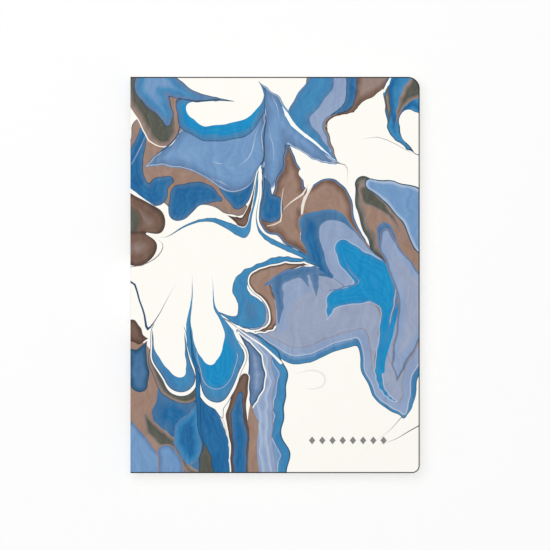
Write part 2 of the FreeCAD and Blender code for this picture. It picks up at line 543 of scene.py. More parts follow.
@dataclass(frozen=True)
class Pool:
    """Ink on the marbler's bath: chains of discs run together, with other inks nested inside.

    Attributes:
        name: What it is called.
        flow: The inks from the shore inwards.
        softness: How widely neighbouring stretches run together, in millimetres.
        strands: The chains. Each disc is its centre, in millimetres from the spine and from the
            head, and its radius.
    """

    name: str
    flow: Flow
    softness: float
    strands: Tuple[Tuple[Disc, ...], ...]

    @staticmethod
    def stretch(place: Field, near: Disc, far: Disc) -> Field:
        """Works out the distance from one tapering stretch of a chain.

        Args:
            place: Where on the bath.
            near: The disc that it starts from.
            far: The disc that it ends at.

        Returns:
            The distance, which is negative inside.
        """
        reach = Vector(far[:2]) - Vector(near[:2])
        out = place - Vector(near[:2])
        share = out.dot(reach / reach.length_squared).clamped()
        return (out - share.along(reach)).length() - share.between(near[2], far[2])

    @staticmethod
    def flowing(strand: Sequence[Disc]) -> List[Disc]:
        """Adds a disc in each stretch that turns, on a smooth curve through the discs around it.

        Args:
            strand: A chain's discs.

        Returns:
            The chain with the added discs.
        """
        discs = [Vector(disc) for disc in strand]
        row = [2 * discs[0] - discs[1], *discs, 2 * discs[-1] - discs[-2]]
        chain = [strand[0]]
        for before, start, end, after in zip(row, row[1:], row[2:], row[3:]):
            straight = (start + end) / 2
            bulge = (start + end - before - after) / 16
            if bulge.xy.length > SEEN_BULGE + SEEN_SHARE * straight.z:
                chain.append((*(straight + bulge).xy, max((straight + bulge).z, THINNEST)))
            chain.append(tuple(end))
        return chain

    def lay(self, place: Field, spread: Field, below: Term) -> Field:
        """Paints the pool over what is already on the bath.

        Args:
            place: Where on the bath.
            spread: How thinly the pool's bands lie there.
            below: The colour there so far.

        Returns:
            The new colour.
        """
        layer = LayerTree(self.name)
        chains = [self.flowing(strand) for strand in self.strands]
        pairs = [pair for chain in chains for pair in zip(chain, chain[1:])]
        shore = self.stretch(layer.place, *pairs[0])
        for near, far in pairs[1:]:
            shore = shore.maths("SMOOTH_MIN", shore, self.stretch(layer.place, near, far), self.softness)
        deepest, stops = self.flow.stops()
        depth = shore * layer.spread * (-1 / deepest)
        ink = layer.node("ShaderNodeValToRGB", {"stops": stops}, (depth,))
        shape = Field(layer, ink.socket.node.outputs["Alpha"])
        return layer.use(layer.paint(layer.below, ink, shape), place, spread, below)


@dataclass(frozen=True)
class Ripple:
    """A slow swell of the bath, which bends every outline a little.

    Attributes:
        height: How far it carries the ink, in millimetres.
        length: From crest to crest, in millimetres.
        phase: Where along its length it starts, in radians.
    """

    height: float
    length: float
    phase: float

    def undo(self, place: Field) -> Field:
        """Works out where the ink at a place was before the swell.

        Args:
            place: Where on the bath, after the swell.

        Returns:
            Where that ink was before it.
        """
        turn = math.tau / self.length
        down = place.dot(RIPPLE_WAY * turn) + self.phase
        across = place.dot(RIPPLE_WAY.orthogonal() * -turn) + self.phase
        turns = place.tree.point(down, across, 0.0)
        return place + turns.maths("SINE", turns).scaled(self.height)


@dataclass(frozen=True)
class Pull:
    """One stroke of the stylus through the bath, which drags the inks along with it.

    Attributes:
        start: Where the stylus goes in, in millimetres from the spine and from the head.
        end: Where it comes out.
        carried: How far it drags the ink on its own line, in millimetres.
        reach: How far to each side the drag falls to a third, in millimetres.
        lead: How far past the end the drag dies out, in millimetres.
    """

    start: Point
    end: Point
    carried: float
    reach: float
    lead: float

    def undo(self, place: Field) -> Field:
        """Works out where the ink at a place was before the stroke.

        Args:
            place: Where on the bath, after the stroke.

        Returns:
            Where that ink was before it.
        """
        stroke = Vector(self.end) - Vector(self.start)
        way = stroke.normalized()
        out = place - Vector(self.start)
        along = out.dot(way)
        aside = abs(out.dot(way.orthogonal()))
        begun = along.stepped(0.0, stroke.length)
        ended = along.stepped(stroke.length, stroke.length + self.lead, self.carried, 0.0)
        near = aside.maths("POWER", math.exp(-1 / self.reach), aside)
        return place - (near * begun * ended).along(way)


RIPPLE_WAY = Vector((0.35, 0.94))  # how the swells lie across the bath
RIPPLES = (Ripple(1, 44, 0.6), Ripple(0.3, 19, 2.1))

PULLS = (
    Pull((65.6, 92), (67.6, 54), 28, 1.4, 10),
    Pull((25, 87), (8.5, 82.5), 9, 1.1, 2),
)

POOLS = (
    Pool("rust field", Flow.RUST_FIELD, 3, (
        ((4.4, 27.4, 5.2), (5, 36, 6), (6, 46, 6.4), (12, 55, 8), (20, 57, 8.8), (27, 63, 9), (34, 60, 8),
         (44, 62, 6.5), (51, 66, 5.4), (58, 69, 3), (63, 71, 1)),
        ((5, 36, 6), (15, 37, 5.6), (19, 41, 4)),
        ((18, 50, 3), (28, 52, 3.6), (40, 55, 3.6)),
    )),
    Pool("blue left", Flow.DEEP_BLUE, 2, (
        ((6, 28.6, 2.6), (4, 37, 3.8), (2, 46, 5), (2, 53, 6.4), (8, 60.4, 5), (13.6, 61.4, 5.4),
         (15.4, 57.6, 4.4), (21, 55.4, 2.4)),
    )),
    Pool("blue lobe on the left", Flow.DEEP_BLUE, 2, (
        ((26.4, 64, 6.4), (25.6, 70.6, 5.8), (32, 63, 6.4), (40, 62.4, 5), (46.4, 64, 1.8)),
    )),
    Pool("blue wedge", Flow.DEEP_BLUE, 1.5, (
        ((47, 58.4, 1), (52, 61.2, 3), (57, 64.4, 4.4), (61, 61, 3.2), (64.6, 54, 2), (68, 45, 1.4),
         (70.6, 36, 0.9), (72, 26, 0.4)),
        ((69.8, 40, 1.6), (69.2, 50, 2), (69.4, 58, 1.5), (69.6, 66, 0.8)),
    )),
    Pool("left streak", Flow.LAVENDER_STREAK, 0.4, (
        ((8, 29, 0.3), (5.6, 36, 0.6), (1.6, 44, 0.45), (-2, 49, 0.3)),
    )),
    Pool("sheet", Flow.PERIWINKLE_SHEET, 3, (
        ((9, 46.6, 0.6), (15, 44.6, 2.6), (24, 41.6, 7), (34, 38, 12), (45, 37, 17.5), (55, 41, 18.5),
         (60, 32, 13), (64, 18, 8)),
    )),
    Pool("right lobe", Flow.PERIWINKLE_SHEET, 2, (
        ((66.6, 2.4, 0.3), (70, 6.2, 1.8), (75, 13, 4.8), (78, 22, 6.4), (77, 32, 6.8), (75.4, 44, 6.2),
         (74.2, 52.5, 5.2), (73, 57, 3.2)),
        ((75, 13, 4.8), (80, 22, 6), (88, 31, 5.8), (97, 39.4, 3.6), (105, 44.2, 1.3), (110, 46, 0.3)),
    )),
    Pool("fold line", Flow.NAVY_LINE, 0.3, (
        ((69.4, 14, 0.05), (72.4, 24, 0.35), (71.4, 36, 0.4), (69.4, 46, 0.5), (66, 57, 0.2)),
    )),
    Pool("streaks", Flow.PALE_STREAK, 0.2, (
        ((57, 47, 0.1), (62, 43.4, 0.3), (66, 37, 0.3), (68.6, 27, 0.1)),
        ((44.6, 43.6, 0.1), (47, 44.5, 0.35), (49.8, 45, 0.1)),
        ((42, 53.4, 0.1), (47, 54.4, 0.3), (52, 57, 0.1)),
        ((74.4, 8.6, 0.1), (77.6, 14, 0.3), (79.4, 21, 0.1)),
        ((74.6, 26, 0.1), (75.6, 36, 0.25), (74.6, 47, 0.1)),
    )),
    Pool("olive bend", Flow.OLIVE_BEND, 2, (
        ((1, 0, 5), (5, 12, 6), (12.6, 24, 8.4), (17.4, 30.4, 7.4), (21.2, 25, 4.2), (22.6, 16, 1.8),
         (24.6, 11.4, 1.2), (30, 9.6, 0.5)),
    )),
    Pool("rust gap", Flow.RUST, 1, (
        ((22.2, 8, 2.6), (23, 16, 2.4), (23.8, 22, 1.8), (25, 28, 2)),
    )),
    Pool("sheet line", Flow.NAVY_LINE, 0.3, (
        ((24.6, 15, 0.1), (25.6, 27, 0.35), (24, 33, 0.45), (18, 39, 0.4), (9.4, 45.4, 0.1)),
    )),
    Pool("crescent", Flow.CRESCENT, 4, (
        ((29, 16.4, 5.8), (32, 21.4, 7.8), (40, 22.4, 9.8), (50, 22.8, 10.2), (58.4, 22, 10),
         (63.6, 16.4, 7.4), (65.8, 8.6, 4.8), (64, 3, 2)),
    )),
    Pool("oval", Flow.WHITE, 4, (
        ((32.8, 16.6, 4.6), (40, 17, 7.4), (49, 15.8, 8.8), (57, 13, 10.2), (60.4, 10, 9), (58, 3, 5),
         (48, -2, 10), (34, -8, 10)),
    )),
    Pool("second lobe", Flow.BLUE_LOBE, 2, (
        ((54, 13.5, 0.2), (44, 11.9, 0.9), (34, 9.4, 2.6), (25, 6, 5.4), (15, 2, 9), (11, 6, 8),
         (14.4, 13, 6.6), (17.6, 20, 4), (18.6, 25, 2)),
    )),
    Pool("lobe line", Flow.NAVY_LINE, 0.4, (
        ((46, 12.2, 0.3), (35, 11.6, 0.4), (26, 11.2, 0.3), (23.6, 14, 0.2)),
    )),
    Pool("white round the brown balls", Flow.WHITE, 1, (
        ((-3, 57.4, 1.8), (2.4, 61.8, 1.8), (8, 66.4, 1.6), (14, 70.4, 1.6)),
    )),
    Pool("brown up", Flow.BROWN_BALL, 4, (
        ((-3, 66, 6.4), (4, 72.2, 7.6), (9, 76, 8.4), (7, 79, 7)),
    )),
    Pool("olive in the brown ball", Flow.OLIVE_HEART, 3, (
        ((-3, 70, 4), (1.4, 76, 4.2), (-2, 84, 4)),
    )),
    Pool("brown low", Flow.BROWN_BALL, 4, (
        ((-2, 91, 9), (4, 91, 9), (7, 89.6, 8)),
    )),
    Pool("hair round brown", Flow.GREY_HAIR, 0.2, (
        ((16.5, 84.6, 0.1), (18.2, 87.4, 0.25), (17.6, 91.4, 0.3), (13.8, 96.2, 0.3), (7, 99.8, 0.25),
         (-2, 102.4, 0.25)),
    )),
    Pool("arc", Flow.BLUE_SWEEP, 0.5, (
        ((17, 84.6, 0.1), (26, 80.8, 0.5), (36, 76.8, 0.8), (45, 76.4, 1.3), (54, 78.6, 2.2),
         (60.4, 80.8, 3.2), (63.6, 77.6, 2.3), (65, 70, 1), (66.2, 60, 0.4)),
    )),
    Pool("spear", Flow.BROWN_SPEAR, 0.8, (
        ((51.4, 72.4, 0.5), (57, 74.2, 1.8), (61.2, 75.8, 2.8), (63.4, 69, 1.3), (65.4, 60, 0.4)),
    )),
    Pool("brown bow", Flow.BROWN_BOW, 3, (
        ((82.6, 36.4, 1.5), (83, 43, 3), (84.8, 50, 4.8), (84, 57, 7.6), (84, 66, 9), (82, 76, 8.6),
         (86, 84, 6.4), (92.6, 91.6, 3.8), (99, 98.4, 1.6), (104.4, 102.6, 0.2)),
        ((84, 64, 7), (96, 67, 8.6), (105, 63, 9.6), (110.6, 68, 6.6), (115, 79, 3.8), (121, 87, 2.2),
         (131, 95, 0.6)),
        ((82, 74, 7), (75, 78.6, 4.4), (70.8, 72, 1.8), (69.4, 62, 1), (69.6, 52, 0.4)),
    )),
    Pool("centre deep", Flow.DEEP_BLUE, 1.5, (
        ((71.6, 58.6, 1.8), (72.4, 65, 2.8), (77, 68.4, 4.4), (77.2, 73, 3.6), (73, 73.4, 3.2),
         (72.6, 68, 3)),
    )),
    Pool("centre line", Flow.CREAM_LINE, 0.3, (
        ((80.6, 60, 0.2), (81, 70, 0.25), (80, 77, 0.35), (73, 79, 0.25)),
    )),
    Pool("notch", Flow.WHITE, 0.6, (
        ((91, 50, 2.6), (95.4, 56.6, 1.5), (94, 62, 0.3)),
    )),
    Pool("first vein", Flow.CREAM_LINE, 0.4, (
        ((94.4, 56, 0.3), (92, 61.4, 0.6), (86.4, 67, 0.35), (82, 71.6, 0.1)),
    )),
    Pool("second vein", Flow.CREAM_LINE, 0.5, (
        ((96.4, 57.6, 0.4), (93.6, 63.4, 0.9), (91, 74, 0.5), (89.4, 87, 0.15)),
    )),
    Pool("blue edge", Flow.BLUE_SWEEP, 0.8, (
        ((66.8, 76, 0.2), (69, 82.4, 0.9), (75, 87.4, 1.4), (83, 91.6, 1.5), (91, 96.2, 1.1),
         (98, 100.2, 0.5), (102, 102, 0.1)),
    )),
    Pool("right-hand band", Flow.BLUE_RIM, 4, (
        ((60, 134.4, 1.4), (68, 133, 5.6), (78, 132, 14), (90, 129, 22), (100, 124, 24), (110, 126, 18),
         (118, 124, 15.6), (127, 130, 10.4), (132, 142, 10), (134.4, 154, 11), (137, 163, 10.8),
         (141, 170, 6.8), (144.8, 178.4, 0.6)),
        ((147, 142, 12.6), (144.8, 150, 9.8), (142.8, 159.4, 7.2), (143.2, 167, 7), (144.8, 174, 3.2),
         (144.9, 178.6, 0.8)),
    )),
    Pool("right-hand lavender", Flow.LAVENDER_TAIL, 4, (
        ((64, 132, 1.6), (69, 130.6, 5), (78, 129.4, 12.8), (90, 126.4, 20.8), (100, 121.4, 22.6),
         (110, 122.4, 17.6), (117, 119.6, 15.6), (127, 130, 9), (132, 142, 8.6), (134.4, 154, 9.6),
         (137, 163, 9.4), (141, 170, 5.4), (144.6, 177, 0.8)),
        ((127, 120, 14), (146, 100, 14), (150, 120, 12), (146.4, 142, 11), (143.6, 150, 7.6),
         (141.8, 159.4, 5.2), (142.6, 167, 4.8), (144.4, 174, 1.6), (144.6, 177, 0.5)),
    )),
    Pool("hair tail", Flow.GREY_HAIR, 0.2, (
        ((144.4, 178, 0.3), (140, 184, 0.2), (134, 191, 0.1), (124, 199, 0.05)),
        ((154, 183.6, 0.4), (148, 187, 0.3), (141, 191, 0.2), (132, 196, 0.05)),
    )),
    Pool("faint loop", Flow.FAINT_LINE, 0.2, (
        ((88, 155.6, 0.2), (95, 154.8, 0.45), (100, 155.6, 0.55), (103.6, 158, 0.6), (104, 161.2, 0.6),
         (102, 163.8, 0.5), (97, 164.4, 0.35), (93, 163.6, 0.1)),
    )),
    Pool("steel curl", Flow.STEEL_CURL, 6, (
        ((97, 79, 8.4), (104, 81, 11.6), (112, 92, 11), (121, 101, 11), (129, 107.6, 11), (134, 116, 6),
         (135.4, 124, 3.6), (134.6, 134, 2.6), (133, 146, 2), (131, 154, 1.6)),
    )),
    Pool("inside of the curl", Flow.LAVENDER_STREAK, 3, (
        ((104.6, 80.4, 5), (104.6, 87, 5.8), (108, 94, 6), (113, 101, 6.4), (121, 106, 8), (127, 106, 9),
         (131, 112, 8), (135.6, 116, 3.6), (135.6, 128, 2)),
        ((104.6, 80.4, 5), (110, 81.4, 5), (118, 90, 5.2), (127, 98.4, 5.4), (133.4, 106, 5.4),
         (131, 112, 7)),
    )),
    Pool("steel arm", Flow.STEEL_ARM, 2, (
        ((95.6, 77, 3.6), (94.4, 86, 4.6), (97.4, 95.4, 4.6), (101.6, 102, 3.8), (107, 104.8, 1.4)),
    )),
    Pool("sky curl", Flow.SKY_CURL, 3, (
        ((111.4, 89.4, 4.6), (117, 95, 6.4), (124, 101, 8), (130, 107, 9.6), (132, 113, 7.6),
         (134.6, 121, 3.5), (134.6, 132, 2.7), (133.2, 144, 2.1), (131.6, 155, 1.8), (131.6, 163, 1.3),
         (137, 169, 0.6), (141, 171, 0.2)),
        ((130, 110, 8), (121, 113.6, 5.4), (112, 115.6, 4.4), (107.6, 119, 3.2), (104.8, 125, 1.4),
         (103, 129.6, 0.3)),
    )),
    Pool("sky line", Flow.LAVENDER_STREAK, 0.3, (
        ((113.6, 94, 0.1), (117, 102, 0.45), (121.4, 107, 0.5), (119.6, 109, 0.45), (113, 110.4, 0.4),
         (106, 113.4, 0.3)),
    )),
    Pool("bright strand", Flow.SKY_LINE, 0.6, (
        ((141, 117, 0.2), (140, 126, 1.2), (137.6, 136, 1.6), (135.4, 146, 1.4), (133.6, 155, 1)),
    )),
    Pool("tail line", Flow.LAVENDER_STREAK, 0.3, (
        ((128, 92, 0.2), (136, 99.6, 0.45), (140.6, 107, 0.45), (139.8, 117, 0.4), (137.6, 130, 0.35),
         (135.4, 142, 0.1)),
    )),
    Pool("olive right", Flow.OLIVE_EDGE, 4, (
        ((125, 58.4, 5.2), (127, 67, 7.6), (132, 76, 10.4), (140, 85, 11), (149, 95, 10), (157, 104, 8)),
        ((127, 67, 6.4), (130.6, 78, 8.2), (134.6, 88, 7.2), (138.6, 97, 4)),
    )),
    Pool("olive cap", Flow.SOFT_OLIVE, 2, (
        ((124.6, 61.4, 3.6), (126.6, 65, 4.8), (132, 68.4, 3.4), (137.4, 74, 1.6), (142, 81, 0.8),
         (146, 88, 0.2)),
    )),
    Pool("rim of the lavender lobe", Flow.SLATE_SWIRL, 2, (
        ((133.8, 82.2, 4.6), (136.4, 88, 5.2), (139.6, 94.6, 5), (143, 101, 4)),
    )),
    Pool("lavender lobe", Flow.LAVENDER_LOBE, 3, (
        ((134.6, 84, 3.2), (137.6, 91, 5), (144, 102, 6.8), (149.6, 114, 9.6), (150.4, 129, 9),
         (146.2, 142, 6.2), (141.8, 152, 3), (139.8, 160.4, 0.3)),
    )),
    Pool("periwinkle on the right", Flow.PERIWINKLE_LOBE, 3, (
        ((128.6, 57.8, 3.8), (138, 61, 6.4), (146, 65.6, 9.6), (154, 75, 9.6), (158, 86, 8.6)),
    )),
    Pool("brown at the head", Flow.BROWN, 1.2, (
        ((131, -5, 12.6), (125.4, 4.4, 6.6), (120.8, 12.6, 2.4), (118, 17.6, 1.1), (111, 21, 0.5),
         (104.4, 24.6, 0.4), (103.8, 32, 0.3), (107, 40, 0.1)),
    )),
    Pool("lavender at the head", Flow.LAVENDER_LEAF, 4, (
        ((106, -4, 13.4), (106, 6, 13), (104, 12, 11), (100, 18, 7), (97.6, 25, 5), (101, 32, 3),
         (105, 39, 1.4), (108.6, 44.6, 0.2)),
    )),
    Pool("deep blue at the head", Flow.DEEP_BLUE, 2, (
        ((117, -5, 3.4), (117.6, 6, 2.8), (117, 13.6, 2.2), (112.4, 18.6, 1.1), (107, 21.6, 0.3)),
    )),
    Pool("clear blue at the head", Flow.BLUE_LEAF, 4, (
        ((103, -4, 5.4), (100.4, 5, 6.6), (95, 12, 7), (90, 18, 5.4), (91.4, 24.4, 4), (96, 31, 3),
         (102, 38, 1.5), (108.4, 44.4, 0.2)),
    )),
    Pool("sliver", Flow.WHITE_SLIVER, 0.8, (
        ((80.4, 14.4, 0.5), (83.2, 19, 1.4), (87, 24.4, 1.5), (92.8, 30.6, 1.3), (100.4, 37.6, 0.9),
         (108.6, 44.2, 0.2)),
    )),
    Pool("corner", Flow.CORNER_BLUE, 3, (
        ((148, -1, 9.4), (144.4, 8, 9.4), (143, 13, 7.8), (139.6, 18, 5.2), (138.2, 25, 3),
         (141, 31, 1.6), (147, 36.8, 0.7), (154, 42, 0.2)),
        ((146, 4, 8), (151, 11, 8), (158, 18, 8)),
    )),
    Pool("corner gap", Flow.WHITE, 0.6, (
        ((139, -0.6, 0.3), (137.2, 3.6, 0.9), (135.2, 6.8, 0.6), (130, 9.6, 0.1)),
    )),
    Pool("corner brown", Flow.OLIVE_SHADOW, 0.8, (
        ((137.4, 5, 0.4), (136.6, 10, 1.3), (136, 16, 1.2), (135.8, 23, 0.2)),
    )),
    Pool("corner olive", Flow.SOFT_OLIVE, 2, (
        ((155, 4, 6.2), (149.4, 8.4, 4), (144.6, 13, 2.4), (141, 18, 1.1), (139.4, 24, 0.2)),
    )),
    Pool("corner white", Flow.OUTLINED_WHITE, 3, (
        ((145.6, 22.6, 4.8), (149.6, 27.4, 7.6), (155, 36, 6)),
    )),
    Pool("hair right", Flow.GREY_HAIR, 0.15, (
        ((121, 33, 0.05), (130, 31.4, 0.2), (140, 34.4, 0.2), (150, 40, 0.1)),
    )),
    Pool("hair tip", Flow.GREY_HAIR, 0.2, (
        ((108, 45.4, 0.3), (113, 47.4, 0.25), (115.6, 51.6, 0.15), (116, 58, 0.05)),
    )),
    Pool("hook", Flow.HOOK_RIM, 2, (
        ((102, 100.6, 0.2), (92, 98.4, 0.9), (82, 96.8, 1.3), (74, 97.6, 1.9), (67, 100, 2.4),
         (61.6, 103.8, 3), (57.8, 108.4, 3.4), (57.4, 112.8, 3.8), (61, 117.6, 4), (65, 122.6, 7),
         (64.6, 126.4, 7.2), (60, 129.4, 3.4), (54, 128.6, 1.2), (47, 125, 0.3)),
    )),
    Pool("hook core", Flow.HOOK, 2, (
        ((102, 101.8, 0.2), (91, 100.2, 1.6), (81, 101, 3.2), (73, 104, 5.2), (67.5, 107, 6.4),
         (72.6, 112.4, 4.4), (76, 118, 3.8), (77, 125, 3.2), (74.4, 131.4, 2.2), (66.4, 135.4, 1.1),
         (58, 133, 0.8), (50, 128.4, 0.3)),
    )),
    Pool("lavender under the hook", Flow.LAVENDER, 2, (
        ((98, 110, 3), (90, 111, 4.6), (83, 114, 5), (81.4, 122, 3.6), (80, 131, 3)),
    )),
    Pool("hook swirl", Flow.SLATE_SWIRL, 1.5, (
        ((103, 104, 0.6), (98, 103.6, 2), (91, 103.8, 2.6), (83, 105.2, 2.8), (76.4, 107, 2),
         (71, 108.8, 0.5)),
        ((84, 105, 3), (78, 108, 3), (79.4, 114, 2.4), (79.8, 121, 1.8), (78.6, 129, 0.4)),
        ((97.8, 103, 2.2), (98.2, 107, 2.2), (98.8, 112, 1.4), (99, 117, 0.3)),
        ((91, 104, 2.4), (93.6, 108, 1.2), (95, 112, 0.2)),
    )),
    Pool("column", Flow.BLUE_COLUMN, 4, (
        ((60, 136.6, 1.2), (67, 141, 3), (72.6, 148, 5.4), (76, 157, 7.4), (75.6, 168, 7.4),
         (73.4, 180, 6.6), (71.8, 190, 6.4), (76, 202, 8.2), (76, 213, 8)),
    )),
    Pool("lavender column", Flow.LAVENDER_COLUMN, 3, (
        ((58, 135, 1.4), (64, 141, 3.6), (69, 150, 5), (72, 162, 5), (71, 174, 4.8), (69.4, 186, 4.6),
         (70, 198, 4.6), (74, 212, 5)),
    )),
    Pool("white ray", Flow.WHITE, 0.4, (
        ((50, 129.4, 0.1), (58, 134.2, 0.3), (66, 140.4, 0.5), (73, 146, 0.6), (79.6, 150.6, 0.9)),
    )),
    Pool("slate column", Flow.SLATE_LEAF, 1.5, (
        ((57.6, 135.6, 0.5), (61.4, 142, 2.2), (65, 149.6, 4.1), (67, 158, 5.2), (67, 165, 4.6),
         (66, 171, 2.8), (64.8, 177.4, 0.5)),
    )),
    Pool("steel blue at the foot", Flow.STEEL_FIELD, 5, (
        ((12, 163, 1.6), (14, 172, 7), (20, 178, 13), (26, 182, 13), (27, 197, 10.8), (29.4, 214, 10.4)),
    )),
    Pool("deep blue at the foot", Flow.DEEP_BLUE, 4, (
        ((37.4, 167, 3), (40.4, 175.4, 6), (42.2, 183, 8), (44, 195, 9.4), (45.6, 214, 9.4)),
    )),
    Pool("left rust", Flow.RUST, 2, (
        ((-1, 141, 6), (5, 148, 6.4), (7, 158, 6), (5, 170, 8), (2, 180, 7)),
        ((12.4, 151, 0.8), (11.8, 160, 1.6), (8.6, 169, 3.4), (4, 173, 6.4), (7.6, 180, 4.4),
         (10, 188, 4), (13.4, 196, 2.4), (15.2, 205, 0.2)),
    )),
    Pool("left steel", Flow.DUSTY_BLOB, 2, (
        ((9.6, 141, 0.3), (5, 148.6, 4.6), (4.6, 156, 5.8), (4, 161.6, 4.8)),
        ((-1, 143, 1.6), (3.6, 147, 2.6)),
    )),
    Pool("second rust on the left", Flow.SOFT_OLIVE, 2, (
        ((8, 178, 1.4), (12.4, 186, 3.6), (17.6, 190.6, 4), (22.6, 194.4, 3.4), (26, 202, 2),
         (30, 208, 1.6), (36, 213, 3)),
    )),
    Pool("periwinkle at the foot", Flow.PERIWINKLE_FOOT, 4, (
        ((-2.6, 186.6, 7), (3, 196.6, 9), (11, 206.6, 9), (16, 212, 8)),
        ((-1, 196, 8), (2, 212, 10)),
    )),
    Pool("second periwinkle at the foot", Flow.PERIWINKLE_FOOT, 3, (
        ((19.4, 198.4, 5), (20.4, 206, 6.4), (22, 214, 7)),
    )),
    Pool("blue drop", Flow.BLUE_DROP, 2, (
        ((36.6, 171, 1), (34.8, 179, 2.8), (31.2, 187, 6.4), (30.6, 194, 6.6), (30.8, 199, 5.4),
         (31, 202.6, 3.6)),
    )),
    Pool("olive at the foot", Flow.OLIVE, 3, (
        ((38.4, 194, 0.6), (39, 202, 3), (40, 214, 5)),
    )),
    Pool("vein at the foot", Flow.CREAM_LINE, 2, (
        ((49, 177.6, 0.9), (50.6, 184, 0.5), (51.4, 194, 0.45), (53, 212, 0.6)),
    )),
    Pool("arch", Flow.BROWN_ARCH, 2, (
        ((60.4, 160.2, 3), (58.2, 168, 4.8), (57, 178, 5.8), (57, 190, 5.8), (57.8, 201, 5.8),
         (59.6, 214, 7)),
    )),
    Pool("arch blue", Flow.DEEP_BLUE, 2, (
        ((58.6, 168.4, 1.6), (57.6, 177, 3.3), (57, 190, 4), (57.4, 202, 3.8), (58.4, 214, 3.6)),
    )),
    Pool("rust at the foot", Flow.RUST, 1, (
        ((65, 175, 0.8), (64.6, 183, 2.6), (64, 193, 2.2), (64.4, 203, 2.6), (66.6, 214, 3.6)),
    )),
    Pool("taupe under the left cup", Flow.TAUPE_CUP, 4, (
        ((22, 150, 12), (25, 160, 12), (28, 163.6, 10)),
    )),
    Pool("left cup, white", Flow.OUTLINED_WHITE, 3, (
        ((21, 136, 9.6), (21.6, 148, 10.2), (25.4, 160.6, 9.4)),
    )),
    Pool("left cup, blue", Flow.DUSTY_CUP, 3, (
        ((21, 136, 8.8), (21.6, 148, 9.2), (25, 159.4, 8.3)),
    )),
    Pool("right cup, white", Flow.OUTLINED_WHITE, 4, (
        ((43, 138, 9), (47, 149, 13), (46, 160, 11), (45.4, 166.6, 8), (48, 175, 1.4), (49.6, 179, 0.5)),
    )),
    Pool("right cup, blue", Flow.DUSTY_CUP, 4, (
        ((43, 138, 8.4), (46.8, 149, 11.8), (45.8, 159, 9.8), (45.4, 164.4, 7)),
    )),
    Pool("right cup, sky blue", Flow.SKY_CUP, 4, (
        ((43.4, 138, 8), (45.4, 148, 9.6), (45, 155, 9.2)),
    )),
    Pool("cusp", Flow.CUSP, 0.6, (
        ((32.4, 104, 0.05), (31.4, 118, 0.45), (31.8, 130, 1.3), (32.8, 141, 2.5), (33.8, 150, 1.5),
         (34.6, 160, 0.3)),
    )),
    Pool("right cusp", Flow.CUSP, 0.6, (
        ((42.2, 106, 0.05), (42.8, 115, 0.25), (45.2, 122.6, 0.6), (49, 129, 1.3), (53, 136, 2.4),
         (56, 144, 2), (58, 152, 0.4)),
    )),
    Pool("dark strip", Flow.DARK_STRIP, 0.5, (
        ((32, 118, 0.05), (32.6, 132, 0.25), (33.2, 145, 0.7), (34.4, 158, 1.3), (35.8, 168, 1.5),
         (37.2, 180, 1.1), (38, 194, 0.6)),
    )),
    Pool("right finger", Flow.WHITE, 4, (
        ((40, 112, 2), (39.6, 122, 4), (41, 131, 6.8), (42.2, 137.4, 7.8), (42, 143, 5.8),
         (41.2, 148.4, 2.8)),
    )),
    Pool("left finger", Flow.WHITE, 3, (
        ((21.6, 118, 6), (21, 134, 8.2), (21.4, 143, 7.8), (23.4, 150.4, 5.8), (24.4, 155.4, 4)),
    )),
    Pool("left line", Flow.NAVY_LINE, 0.2, (
        ((-2, 109, 0.6), (2.4, 111, 0.6), (4.4, 120, 0.5), (7, 129.6, 0.6), (9.6, 134.6, 0.7),
         (12.4, 130.4, 0.35), (16.4, 121, 0.2), (24, 108, 0.06)),
    )),
    Pool("left blob", Flow.BROWN_BALL, 2, (
        ((-1, 133, 4.4), (3, 136.4, 3.4), (6, 139.4, 2.2), (10, 139.6, 0.3)),
    )),
)


class Wear(IntEnum):
    """The material slots of a piece of cover card."""

    OUTSIDE = 0
    INSIDE = 1
    CUT = 2


UNROLLED = "unrolled"


@dataclass(frozen=True)
class FlatCard:
    """The cover card before it is folded, and where places on the folded cover lie on it.

    Attributes:
        spine: X of the spine's face.
        thickness: The closed notebook's thickness.
        height: The notebook's height.
        width: The notebook's width.
        bend: Outer radius of the card at the two folds.
        head_corner: Radius of the punched corner at the head.
        tail_corner: Radius of the punched corner at the tail.
    """

    spine: float
    thickness: float
    height: float
    width: float
    bend: float = 1.0 * MM
    head_corner: float = 6.2 * MM
    tail_corner: float = 4.0 * MM

    @property
    def wrap(self) -> float:
        """The length of card from the front's flat to the back's flat, round the spine."""
        return math.pi * self.bend + self.thickness - 2 * self.bend

    def across(self, place: Vector) -> float:
        """Where a place lies across the flat card, measured from the front fold.

        Args:
            place: A place on the folded cover.

        Returns:
            The distance from the spine on the front, going on below zero round the spine.
        """
        out = self.spine + self.bend - place.x
        if out <= 0:
            on_front = self.bend - out
            return on_front if place.z > self.thickness / 2 else 2 * self.bend - self.wrap - on_front
        above = place.z - (self.thickness - self.bend)
        below = self.bend - place.z
        if above > 0:
            return self.bend - self.bend * math.atan2(out, above)
        if below > 0:
            return self.bend - self.wrap + self.bend * math.atan2(out, below)
        return self.bend - self.bend * math.pi / 2 + above

    def unroll(self, shape: bmesh.types.BMesh) -> None:
        """Gives a piece of the cover its place on the flat card, as a UV map in metres.

        Args:
            shape: The piece.
        """
        layer = shape.loops.layers.uv.new(UNROLLED)
        for face in shape.faces:
            for loop in face.loops:
                loop[layer].uv = (self.across(loop.vert.co), loop.vert.co.y)


